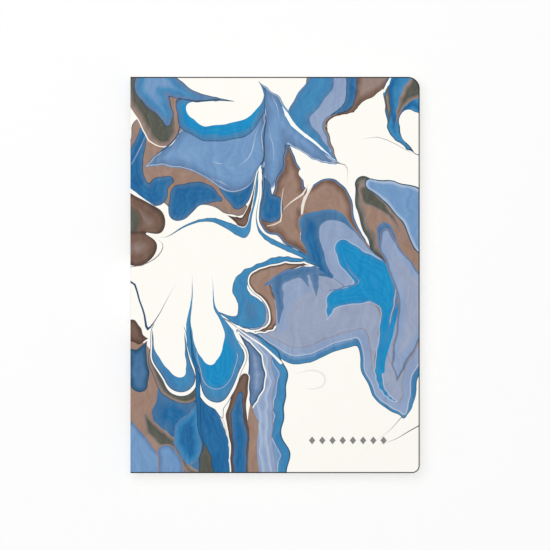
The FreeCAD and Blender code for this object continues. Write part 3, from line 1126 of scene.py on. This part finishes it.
@dataclass(frozen=True)
class MarbledCard:
    """The outside of the cover: marbling printed on card, under a satin film.

    Attributes:
        card: The flat card.
        lean: How far the print behind the spine leans, as a share of the distance from it.
        edge: Width of the rim along the cut edges, where painted shade darkens the print.
        edge_blur: How softly the rim ends, as a share of its width.
        edge_shade_left: What is left of the colour under that painted shade.
        row: Middle of the row of lozenges, in millimetres from the spine and from the head.
        lozenges: How many there are.
        lozenge: Width and height of one.
        lozenge_pitch: From one to the next.
        lozenge_blur: How softly their outlines end, as a share of their size.
        swell: Distance over which the bands widen and narrow again, in millimetres.
        swirl: Size of the eddies that bend the wisps in the ink, in millimetres.
        wander: How far they carry them, in millimetres.
        wisp: Width of a wisp, in millimetres.
        stretch: A wisp's width as a share of its length.
        thickness: How much the ink's thickness changes from wisp to wisp.
        spread: How thinly the bands lie where they are widest, and where narrowest.
        grain: Size of the film's grain.
        grain_depth: How deep the grain is.
        patch: Size of the patches in which the film is smoother or rougher.
        roughness: The film's roughness, at least and at most.
        shine: How strongly the film reflects.
    """

    card: FlatCard
    lean: float = 0.4
    edge: float = 0.6 * MM
    edge_blur: float = 0.15
    edge_shade_left: float = 0.05
    row: Point = (115.0, 192.2)
    lozenges: int = 8
    lozenge: Point = (3.4, 4.2)
    lozenge_pitch: float = 5.4
    lozenge_blur: float = 0.05
    swell: float = 11.0
    swirl: float = 14.0
    wander: float = 20.0
    wisp: float = 3.0
    stretch: float = 0.18
    thickness: float = 0.24
    spread: Point = (0.6, 1.4)
    grain: float = 0.4 * MM
    grain_depth: float = 0.002 * MM
    patch: float = 9 * MM
    roughness: Point = (0.40, 0.52)
    shine: float = 0.08

    def material(self) -> bpy.types.Material:
        """Makes the finish.

        Returns:
            The material.
        """
        tree = FinishTree("marbled_card")
        flat = tree.node("ShaderNodeUVMap", {"uv_map": UNROLLED})
        across, up, _ = tree.parts(flat * (1 / MM))
        down = self.card.height / MM / 2 - up
        colour = self.marbling(tree, across, down)
        colour = tree.paint(colour, Ink.MARK.colour(), self.ornament(across, down))
        # painted shade: the print is darkened along the cut edges, as if the edge fell away from the light
        unshaded = self.painted_edge_shade(tree, flat).between(1.0, self.edge_shade_left)
        tree.raise_by(tree.cloud(flat, 1 / self.grain), self.grain_depth)
        roughness = tree.cloud(flat, 1 / self.patch).between(*self.roughness)
        base = colour.scaled(unshaded)
        return tree.finish(base_color=base, roughness=roughness, specular_ior_level=self.shine)

    def marbling(self, tree: FinishTree, across: Field, down: Field) -> Field:
        """Paints the marbling, which runs on round the spine and mirrored over the back.

        Args:
            tree: The finish's tree.
            across: How far from the spine, in millimetres, less than zero behind it.
            down: How far from the head, in millimetres.

        Returns:
            The printed colour.
        """
        behind = (-across).maths("MAXIMUM", -across, 0.0)
        down = down + behind * self.lean
        bath = tree.point(abs(across), down.maths("PINGPONG", down, self.card.height / MM))
        for ripple in RIPPLES:
            bath = ripple.undo(bath)
        for pull in reversed(PULLS):
            bath = pull.undo(bath)
        spread = tree.cloud(bath, 1 / self.swell).between(*self.spread)
        colour: Term = Ink.WHITE.colour()
        for pool in POOLS:
            colour = pool.lay(bath, spread, colour)
        return tree.node("ShaderNodeGamma", {}, (colour, self.streaks(tree, bath)))

    def streaks(self, tree: FinishTree, bath: Field) -> Field:
        """Works out how thick the ink lies, in wisps that wander over the bath.

        Args:
            tree: The finish's tree.
            bath: Where on the bath.

        Returns:
            The power that the ink's colour takes, about one.
        """
        swirl = tree.cloud(bath, 1 / self.swirl, FINE, "Color") - CLOUD_MIDDLE
        wisps = (bath + swirl.scaled(self.wander)) * Vector((1.0, self.stretch, 0.0))
        power = tree.cloud(wisps, 1 / self.wisp, FINE)
        return power.between(1 - self.thickness, 1 + self.thickness)

    def ornament(self, across: Field, down: Field) -> Field:
        """Marks a row of small lozenges near the front's lower corner.

        Args:
            across: How far from the spine, in millimetres.
            down: How far from the head, in millimetres.

        Returns:
            One on a lozenge and zero off it.
        """
        along = across - self.row[0]
        first = along + self.lozenge_pitch * (self.lozenges - 1) / 2
        off = first.maths("PINGPONG", first, self.lozenge_pitch / 2)
        slant = off * (2 / self.lozenge[0]) + abs(down - self.row[1]) * (2 / self.lozenge[1])
        end = self.lozenge_pitch * self.lozenges / 2
        inside = slant.stepped(1 + self.lozenge_blur, 1 - self.lozenge_blur)
        return inside * abs(along).stepped(end, end - SAME)

    def painted_edge_shade(self, tree: FinishTree, flat: Field) -> Field:
        """Marks the rim along the card's cut edges, which painted shade darkens.

        Args:
            tree: The finish's tree.
            flat: The place on the flat card, in metres.

        Returns:
            One on the rim and zero inside it.
        """
        across, up, _ = tree.parts(flat)
        out = across.maths("MAXIMUM", across, 2 * self.card.bend - self.card.wrap - across)
        radius = up.stepped(-SAME, SAME, self.card.tail_corner, self.card.head_corner)
        beyond = tree.point(out - (self.card.width - radius), abs(up) - (self.card.height / 2 - radius))
        corner = beyond.maths("MAXIMUM", beyond, 0.0).length() - radius
        return corner.stepped(-(1 + self.edge_blur) * self.edge, -(1 - self.edge_blur) * self.edge)


@dataclass(frozen=True)
class BareCard:
    """Uncoated card: the white inside of the cover, or its cut edge.

    Attributes:
        name: The material's name.
        dark: The colour between the fibres.
        light: The colour of the fibres.
        fibre: Size of the fibres.
        relief: How far they stand out.
        shading: How full of fibre the card is where it starts to be light, and where it is lightest.
        roughness: The roughness between the fibres and on them, or one number for both.
    """

    name: str
    dark: Ink
    light: Ink
    fibre: float
    relief: float
    shading: Point
    roughness: Union[Point, float]

    def material(self) -> bpy.types.Material:
        """Makes the finish.

        Returns:
            The material.
        """
        tree = FinishTree(self.name)
        fibres = tree.cloud(tree.node("ShaderNodeUVMap", {"uv_map": UNROLLED}), 1 / self.fibre, FINEST)
        colour = tree.paint(self.dark.colour(), self.light.colour(), fibres.stepped(*self.shading))
        tree.raise_by(fibres, self.relief)
        even = isinstance(self.roughness, float)
        roughness = self.roughness if even else fibres.between(*self.roughness)
        return tree.finish(base_color=colour, roughness=roughness)


INSIDE = BareCard("card_inside", Ink.CARD_SHADE, Ink.CARD, 0.7 * MM, 0.008 * MM, (0.3, 0.6), (0.7, 0.9))
# the cut edge is the card's core, painted dark grey-brown between its fibres, partly as painted shade for
# the edge falling away from the light
CORE = BareCard("card_core", Ink.EDGE, Ink.CARD_SHADE, 0.3 * MM, 0.02 * MM, (0.3, 0.7), 0.85)


class Side(Enum):
    """The two boards: the node each stands for, and which way its outside faces."""

    FRONT = ("front_cover", 1)
    BACK = ("back_cover", -1)


ENDWAYS = 0.9  # a face that looks this much along the spine is at the head or the tail
LEVEL = 0.999  # a face that looks this much along one axis is flat
OUTWARD = 0.2  # a board's face that looks at least this much outwards is printed
INWARD = -0.5  # one that looks less outwards than this is on the inside


@dataclass
class WrapCover:
    """The one sheet of card that wraps the pages: a spine and two boards that swing.

    Attributes:
        card: The flat card.
        low: The closed notebook's lowest corner.
        high: Its highest corner.
        board: Thickness of the card.
        hinge: X of the two scored hinge lines.
        crease: How far from the hinge line the card bends when a board swings.
        rim: Radius of the card's outer cut edges.
        rim_steps: Faces round the rim.
        crease_cuts: Cuts that let the crease bend.
        fold_steps: Faces round each fold at the spine.
        corner_steps: Faces round a punched corner.
    """

    card: FlatCard
    low: Vector
    high: Vector
    board: float
    hinge: float
    crease: float = 0.7 * MM
    rim: float = 0.2 * MM
    rim_steps: int = 3
    crease_cuts: int = 12
    fold_steps: int = 10
    corner_steps: int = 14

    def build(self) -> List[bpy.types.Object]:
        """Makes the spine card, on the body that carries it, and both boards.

        Returns:
            The three pieces.
        """
        finishes = [finish.material() for finish in (MarbledCard(self.card), INSIDE, CORE)]
        pieces = [self.spine_card(), self.board_card(Side.FRONT), self.board_card(Side.BACK)]
        for piece in pieces:
            for finish in finishes:
                piece.data.materials.append(finish)
        return pieces

    def spine_card(self) -> bpy.types.Object:
        """Makes the card round the spine, with the strips that are glued to the pages.

        Returns:
            The finished piece.
        """
        shape = bmesh.new()
        middle = (self.low.z + self.high.z) / 2
        strip = self.hinge - (self.card.spine + self.card.bend)
        run = [shape.verts.new((self.hinge, self.low.y, self.high.z))]
        run.append(drag(shape, run[-1], Vector((-strip, 0, 0))))
        run.append(self.fold(shape, run[-1], self.high.z - self.card.bend))
        run.append(drag(shape, run[-1], Vector((0, 0, 2 * self.card.bend - self.card.thickness))))
        run.append(self.fold(shape, run[-1], self.low.z + self.card.bend))
        drag(shape, run[-1], Vector((strip, 0, 0)))
        sheet = bmesh.ops.extrude_edge_only(shape, edges=shape.edges[:])["geom"]
        drawn = [item for item in sheet if isinstance(item, bmesh.types.BMVert)]
        bmesh.ops.translate(shape, verts=drawn, vec=(0, self.card.height, 0))
        bmesh.ops.recalc_face_normals(shape, faces=shape.faces)
        bmesh.ops.solidify(shape, geom=shape.faces[:], thickness=self.board)
        bmesh.ops.recalc_face_normals(shape, faces=shape.faces)
        core = Vector((self.hinge, 0, middle))
        ends = edges_where(shape, lambda at: abs(abs(at.y) - self.high.y) < SAME)
        rim = [edge for edge in ends if any(self.is_outside(face, core) for face in edge.link_faces)]
        round_edges(shape, rim, self.rim, self.rim_steps)
        for face in shape.faces:
            if abs(face.normal.y) > ENDWAYS or face.calc_center_median().x > self.hinge - SAME:
                face.material_index = Wear.CUT
            elif not self.is_outside(face, core):
                face.material_index = Wear.INSIDE
            face.smooth = face.material_index == Wear.OUTSIDE and max(map(abs, face.normal)) < LEVEL
        self.card.unroll(shape)
        piece = as_object("spine_card", shape)
        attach(piece, "text_block")
        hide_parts("cover_spine")
        return piece

    def fold(
        self, shape: bmesh.types.BMesh, vert: bmesh.types.BMVert, height: float
    ) -> bmesh.types.BMVert:
        """Turns the card's section through a quarter circle round one fold.

        Args:
            shape: The mesh.
            vert: Where the fold starts.
            height: Z of the fold's centre.

        Returns:
            The vertex at the fold's end.
        """
        centre = (self.card.spine + self.card.bend, self.low.y, height)
        turned = bmesh.ops.spin(
            shape, geom=[vert], cent=centre, axis=(0, -1, 0), angle=math.pi / 2, steps=self.fold_steps
        )
        return next(item for item in turned["geom_last"] if isinstance(item, bmesh.types.BMVert))

    @staticmethod
    def is_outside(face: bmesh.types.BMFace, core: Vector) -> bool:
        """Whether a face looks away from the middle of the folded card, and not along it."""
        away = face.calc_center_median() - core
        return abs(face.normal.y) < ENDWAYS and face.normal.xz.dot(away.xz) > 0

    def board_card(self, side: Side) -> bpy.types.Object:
        """Makes one board, with cuts across the crease at the hinge line, where the real board bends and
        swings.

        Args:
            side: Which board.

        Returns:
            The finished piece.
        """
        node, facing = side.value
        outer = self.high.z if side is Side.FRONT else self.low.z
        shape = bmesh.new()
        bmesh.ops.create_cube(shape, size=1.0)
        size = (self.high.x - self.hinge, self.card.height, self.board)
        bmesh.ops.scale(shape, vec=size, verts=shape.verts)
        centre = ((self.high.x + self.hinge) / 2, 0, outer - facing * self.board / 2)
        bmesh.ops.translate(shape, vec=centre, verts=shape.verts)
        for end, radius in ((self.high.y, self.card.head_corner), (self.low.y, self.card.tail_corner)):
            punched = Vector((self.high.x, end))
            corner = edges_where(shape, lambda at: (at.xy - punched).length < SAME)
            round_edges(shape, corner, radius, self.corner_steps)
        outline = edges_where(shape, lambda at: abs(at.z - outer) < SAME)
        rim = [edge for edge in outline if any(vert.co.x > self.hinge + SAME for vert in edge.verts)]
        round_edges(shape, rim, self.rim, self.rim_steps)
        for cut in range(1, self.crease_cuts + 1):
            place = (self.hinge + self.crease * cut / self.crease_cuts, 0, 0)
            whole = shape.verts[:] + shape.edges[:] + shape.faces[:]
            bmesh.ops.bisect_plane(shape, geom=whole, plane_co=place, plane_no=(1, 0, 0))
        for face in shape.faces:
            out = face.normal.z * facing
            inside = Wear.INSIDE if out < INWARD else Wear.CUT
            face.material_index = Wear.OUTSIDE if out > OUTWARD else inside
            face.smooth = abs(out) < LEVEL
        self.card.unroll(shape)
        piece = as_object(node.replace("cover", "board"), shape)
        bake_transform(piece)
        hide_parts(node)
        return piece


def drag(shape: bmesh.types.BMesh, vert: bmesh.types.BMVert, way: Vector) -> bmesh.types.BMVert:
    """Draws an edge from a vertex.

    Args:
        shape: The mesh.
        vert: Where the edge starts.
        way: Where it goes from there.

    Returns:
        The vertex at its end.
    """
    end = bmesh.ops.extrude_vert_indiv(shape, verts=[vert])["verts"][0]
    bmesh.ops.translate(shape, verts=[end], vec=way)
    return end


def edges_where(shape: bmesh.types.BMesh, test: Callable[[Vector], bool]) -> List[bmesh.types.BMEdge]:
    """Picks the edges of a mesh whose two ends both pass a test of their place."""
    return [edge for edge in shape.edges if all(test(vert.co) for vert in edge.verts)]


def round_edges(
    shape: bmesh.types.BMesh, edges: List[bmesh.types.BMEdge], radius: float, steps: int
) -> None:
    """Rounds some edges of a mesh.

    Args:
        shape: The mesh.
        edges: Its edges.
        radius: The radius.
        steps: How many faces go round the curve.
    """
    bmesh.ops.bevel(
        shape, geom=edges, offset=radius, offset_type="OFFSET", segments=steps,
        profile=0.5, affect="EDGES", material=-1, clamp_overlap=True,
    )


def as_object(name: str, shape: bmesh.types.BMesh) -> bpy.types.Object:
    """Puts a mesh in the scene.

    Args:
        name: The piece's name.
        shape: Its mesh, which is used up.

    Returns:
        The new object.
    """
    mesh = bpy.data.meshes.new(name)
    shape.to_mesh(mesh)
    shape.free()
    piece = bpy.data.objects.new(name, mesh)
    bpy.context.scene.collection.objects.link(piece)
    return piece


@dataclass(frozen=True)
class Pages:
    """Smooth writing paper: ruled on the page, and a stack of leaf edges at the cut sides, with painted
    shade in the gaps between them.

    Attributes:
        low: The block's lowest corner.
        high: Its highest corner.
        leaf: Thickness of one leaf.
        leaves: Leaves in one section.
        line_pitch: Distance between two ruled lines.
        line_width: Width of a ruled line.
        head_margin: From the head to the first ruled line.
        skin: How deep a page's own face is taken to be.
        gap: How much of a leaf's edge is the gap to the next, and how dark the painted shade in that gap
            is.
        fold: The same of a section's edge and the painted shade in the gap to the next section.
        streaks: How often the streaks of the knife change over a metre, along each axis.
        streak_range: Where a streak starts to show, and where it shows fully.
        streak_shade: How dark a streak is.
        fibre: Size of the paper's fibres.
        fibre_share: How much of the relief is fibres, where the rest is the leaves' edges.
        relief: How deep the relief is.
        roughness: The paper's roughness, at least and at most.
        shine: How strongly the paper reflects.
    """

    low: Vector
    high: Vector
    leaf: float = 0.12 * MM
    leaves: int = 8
    line_pitch: float = 7.1 * MM
    line_width: float = 0.25 * MM
    head_margin: float = 22 * MM
    skin: float = 0.01 * MM
    gap: Point = (0.25, 0.5)
    fold: Point = (0.12, 0.5)
    streaks: Tuple[float, float, float] = (60.0, 60.0, 9000.0)
    streak_range: Point = (0.35, 0.75)
    streak_shade: float = 0.6
    fibre: float = 0.5 * MM
    fibre_share: float = 0.1
    relief: float = 0.03 * MM
    roughness: Point = (0.7, 0.9)
    shine: float = 0.2

    def material(self) -> bpy.types.Material:
        """Makes the finish.

        Returns:
            The material.
        """
        tree = FinishTree("pages")
        place = tree.on_object()
        _, up, height = tree.parts(place)
        on_page = self.on_page(height)
        edge = self.edge_shade(tree, place, height) * (1.0 - on_page)
        # painted shade: the cut sides are darker in the gaps between leaves and sections
        colour = tree.paint(Ink.PAPER.colour(), Ink.PAPER_SHADE.colour(), edge)
        colour = tree.paint(colour, Ink.RULE.colour(), self.ruling(up) * on_page)
        fibres = tree.cloud(place, 1 / self.fibre, FINE)
        tree.raise_by(edge * (1 - self.fibre_share) + fibres * self.fibre_share, -self.relief)
        roughness = fibres.between(*self.roughness)
        return tree.finish(base_color=colour, roughness=roughness, specular_ior_level=self.shine)

    def on_page(self, height: Field) -> Field:
        """Marks the first and the last page.

        Args:
            height: Z of the place.

        Returns:
            One on those pages, and zero on the cut sides.
        """
        middle = (self.low.z + self.high.z) / 2
        reach = middle - self.low.z
        return abs(height - middle).stepped(reach - 2 * self.skin, reach - self.skin)

    def edge_shade(self, tree: FinishTree, place: Field, height: Field) -> Field:
        """Works out how dark a place on the cut sides is: painted shade in the gaps between leaves and
        sections, and the knife's streaks.

        Args:
            tree: The finish's tree.
            place: The place.
            height: Its Z.

        Returns:
            Zero on a leaf's edge, and up to one between two leaves.
        """
        cut = tree.cloud(place * Vector(self.streaks), 1.0, FINE)
        shade = cut.stepped(*self.streak_range) * self.streak_shade
        for pitch, (width, dark) in ((self.leaf, self.gap), (self.leaf * self.leaves, self.fold)):
            turn = (height - self.low.z) * (math.pi / pitch)
            shade = shade + abs(turn.maths("SINE", turn)).stepped(width, 0.0) * dark
        return shade.clamped()

    def ruling(self, up: Field) -> Field:
        """Marks the ruled lines of a page, below its head margin.

        Args:
            up: Y of the place.

        Returns:
            One on a line and zero off it.
        """
        down = self.high.y - self.head_margin - up
        off = down.maths("PINGPONG", down, self.line_pitch / 2)
        line = off.stepped(self.line_width / 2, self.line_width / 4)
        foot = self.low.y + self.line_pitch
        return line * down.stepped(-SAME, 0.0) * up.stepped(foot, foot + SAME)


@dataclass(frozen=True)
class Gauze:
    """Open cotton gauze, soaked with glue.

    Attributes:
        pitch: Distance between two threads of the weave.
        relief: How far a thread stands out.
        shading: How far up a thread the glue on it ends, and where it is all thread.
        roughness: The roughness between the threads and on them.
    """

    pitch: float = 0.8 * MM
    relief: float = 0.05 * MM
    shading: Point = (0.5, 0.9)
    roughness: Point = (0.5, 0.9)

    def material(self) -> bpy.types.Material:
        """Makes the finish.

        Returns:
            The material.
        """
        tree = FinishTree("gauze")
        _, up, height = tree.parts(tree.on_object() * (math.pi / self.pitch))
        weft = abs(up.maths("SINE", up))
        warp = abs(height.maths("SINE", height))
        thread = weft.maths("MAXIMUM", weft, warp)
        colour = tree.paint(Ink.GLUE.colour(), Ink.CARD.colour(), thread.stepped(*self.shading))
        tree.raise_by(thread, self.relief)
        return tree.finish(base_color=colour, roughness=thread.between(*self.roughness))


@dataclass(frozen=True)
class Thread:
    """Waxed linen thread with a right-hand twist.

    Attributes:
        pitch: Length of one turn of the twist.
        slope: How many turns there are across the thread, for each along it.
        shading: How bright the thread is between its strands, where its shade is painted, and on them.
        relief: How far a strand stands out.
        fuzz: Size of the fuzz.
        brightness: How strongly the fuzz brightens a strand.
        roughness: The thread's roughness, at least and at most.
    """

    pitch: float = 0.6 * MM
    slope: float = 2.0
    shading: Point = (0.5, 1.0)
    relief: float = 0.04 * MM
    fuzz: float = 0.1 * MM
    brightness: float = 2.0
    roughness: Point = (0.6, 0.9)

    def material(self) -> bpy.types.Material:
        """Makes the finish.

        Returns:
            The material.
        """
        tree = FinishTree("thread")
        place = tree.on_object()
        _, up, height = tree.parts(place * (math.tau / self.pitch))
        turn = up + height * self.slope
        strand = turn.maths("SINE", turn).between(*self.shading)
        fuzz = tree.cloud(place, 1 / self.fuzz, FINE)
        # painted shade: the thread is darker between the strands of its twist
        colour = tree.paint(Ink.PAPER_SHADE.colour(), Ink.CARD.colour(), strand * fuzz * self.brightness)
        tree.raise_by(strand, self.relief)
        return tree.finish(base_color=colour, roughness=fuzz.between(*self.roughness))


@dataclass(frozen=True)
class Glue:
    """Hardened binder's glue, slightly clouded.

    Attributes:
        cloud: Size of the clouds.
        shading: Where a cloud starts to show, and where it shows most.
        whiteness: How white it is there.
        relief: How far the surface swells with them.
        roughness: The glue's roughness, at least and at most.
    """

    cloud: float = 3 * MM
    shading: Point = (0.3, 0.8)
    whiteness: float = 0.5
    relief: float = 0.1 * MM
    roughness: Point = (0.25, 0.5)

    def material(self) -> bpy.types.Material:
        """Makes the finish.

        Returns:
            The material.
        """
        tree = FinishTree("glue")
        cloud = tree.cloud(tree.on_object(), 1 / self.cloud, FINEST)
        white = cloud.stepped(*self.shading, 0.0, self.whiteness)
        colour = tree.paint(Ink.GLUE.colour(), Ink.CARD.colour(), white)
        tree.raise_by(cloud, self.relief)
        return tree.finish(base_color=colour, roughness=cloud.between(*self.roughness))


@dataclass
class TextBlock:
    """The pages and what holds them: the nodes that keep their own shapes.

    Attributes:
        nodes: All the notebook's nodes, by name.
    """

    nodes: Dict[str, bpy.types.Object]

    def dress(self) -> List[bpy.types.Object]:
        """Gives each node its finish.

        Returns:
            The dressed nodes.
        """
        low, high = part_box("page_block")
        finishes = {
            "page_block": Pages(low, high),
            "sewing_thread": Thread(),
            "spine_lining": Gauze(),
            "spine_glue": Glue(),
        }
        for name, finish in finishes.items():
            slots = self.nodes[name].data.materials
            slots.clear()
            slots.append(finish.material())
        return [self.nodes[name] for name in finishes]


@dataclass
class Studio:
    """A plain pale floor, soft daylight and a camera straight above the cover.

    Attributes:
        low: The notebook's lowest corner.
        high: Its highest corner.
        floor_height: Z of the floor, just under a back board that lies open.
        cover_share: How much of the view's height the cover takes.
        lens: The camera's focal length, in millimetres.
        sky: How much of the light comes evenly from all round.
        gain: What makes up for the lamp's breadth, so that a white cover renders white.
        lamp_place: Where the large soft lamp hangs.
        lamp_size: The lamp's width.
        floor_size: The floor's width.
        floor_glow: How far the floor that shows is brought up to plain white round the notebook,
            shadow and all.
        plain_from: How far from the notebook the floor starts to turn all white.
        plain_by: How far from it the floor is all white.
        grain: Size of the floor's grain.
        grain_range: Where the grain starts to show, and where it shows fully.
        floor_roughness: The floor's roughness.
    """

    low: Vector
    high: Vector
    floor_height: float
    cover_share: float = 0.7205
    lens: float = 150.0
    sky: float = 0.42
    gain: float = 1.10
    lamp_place: Tuple[float, float, float] = (-0.3, 0.35, 1.7)
    lamp_size: float = 1.5
    floor_size: float = 6.0
    floor_glow: float = 0.55
    plain_from: float = 0.2
    plain_by: float = 0.8
    grain: float = 25 * MM
    grain_range: Point = (0.5, 0.9)
    floor_roughness: float = 0.9

    def build(self) -> None:
        """Makes the floor, the light and the camera."""
        self.floor()
        self.daylight()
        self.lamp()
        self.camera()
        bpy.context.scene.view_settings.view_transform = "Standard"

    def floor(self) -> None:
        """Lays the floor under the notebook."""
        shape = bmesh.new()
        bmesh.ops.create_grid(shape, x_segments=2, y_segments=2, size=self.floor_size / 2)
        bmesh.ops.translate(shape, vec=(0, 0, self.floor_height), verts=shape.verts)
        floor = as_object("floor", shape)
        tree = FinishTree("floor")
        place = tree.on_object()
        grain = tree.cloud(place, 1 / self.grain).stepped(*self.grain_range)
        colour = tree.paint(Ink.FLOOR.colour(), Ink.FLOOR_SHADE.colour(), grain)
        matt = {"roughness": self.floor_roughness, "specular_ior_level": 0.0}
        floor.data.materials.append(tree.finish(base_color=colour, **matt))
        plain = place.length().stepped(self.plain_from, self.plain_by, self.floor_glow, 1.0)
        glow = tree.node("ShaderNodeEmission", {}, {"Color": WHITE})
        lit = Field(tree, tree.shader.outputs[0])
        shown = tree.node("ShaderNodeMixShader", {}, (self.seen(tree) * plain, lit, glow))
        tree.plug(tree.surface, shown)
        floor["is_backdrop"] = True

    @staticmethod
    def seen(tree: Tree) -> Field:
        """Whether a ray shows what it meets, to the camera or by way of gloss or glass.

        Args:
            tree: The tree that asks.

        Returns:
            One where it does and zero where it only brings light.
        """
        rays = tree.node("ShaderNodeLightPath", {}).socket.node.outputs
        names = ("Is Camera Ray", "Is Glossy Ray", "Is Transmission Ray")
        straight, glossy, clear = (Field(tree, rays[name]) for name in names)
        return straight.maths("MAXIMUM", straight, glossy.maths("MAXIMUM", glossy, clear))

    def daylight(self) -> None:
        """Lights the scene evenly, and shows white behind it."""
        world = bpy.data.worlds.new("daylight")
        bpy.context.scene.world = world
        world.use_nodes = True
        tree = Tree(world.node_tree)
        background = next(node for node in tree.nodes if node.type == "BACKGROUND")
        tree.plug(background.inputs["Color"], WHITE)
        tree.plug(background.inputs["Strength"], self.seen(tree).between(self.sky * self.gain, 1.0))

    def lamp(self) -> None:
        """Hangs one large soft lamp, which brings an upward white surface to full white."""
        light = bpy.data.lights.new("soft_lamp", "AREA")
        light.size = self.lamp_size
        out = Vector(self.lamp_place)
        slope = out.normalized().z
        light.energy = self.gain * (1 - self.sky) * math.pi ** 2 * out.length_squared / slope
        lamp = bpy.data.objects.new("soft_lamp", light)
        lamp.location = out
        lamp.rotation_euler = (-out).to_track_quat("-Z", "Y").to_euler()
        bpy.context.scene.collection.objects.link(lamp)

    def camera(self) -> None:
        """Hangs the camera over the middle of the cover, looking straight down."""
        data = bpy.data.cameras.new("camera")
        data.lens = self.lens
        view = (self.high.y - self.low.y) / self.cover_share
        camera = bpy.data.objects.new("camera", data)
        middle = (self.low + self.high) / 2
        camera.location = (middle.x, middle.y, self.high.z + view * self.lens / data.sensor_width)
        bpy.context.scene.collection.objects.link(camera)
        bpy.context.scene.camera = camera


def main() -> None:
    """Builds the notebook's looks and the studio."""
    logging.basicConfig(level=logging.INFO, format="%(message)s")
    low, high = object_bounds()
    board_low, board_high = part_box("front_cover")
    board = board_high.z - board_low.z  # its thickness
    hinges = {joint["name"]: Vector(joint["pos_m"]) for joint in frame["joints"]}
    card = FlatCard(low.x, high.z - low.z, high.y - low.y, high.x - low.x)
    cover = WrapCover(card, low, high, board, hinges["front_cover_hinge"].x)
    opened = 2 * hinges["back_cover_hinge"].z - board  # the lowest place of an opened back board
    pieces = cover.build() + TextBlock(frame["nodes"]).dress()
    for piece in pieces:
        LOG.info("%s: %d faces", piece.name, len(piece.data.polygons))
    Studio(low, high, opened - FLOOR_GAP).build()


if __name__ == "__main__":
    main()
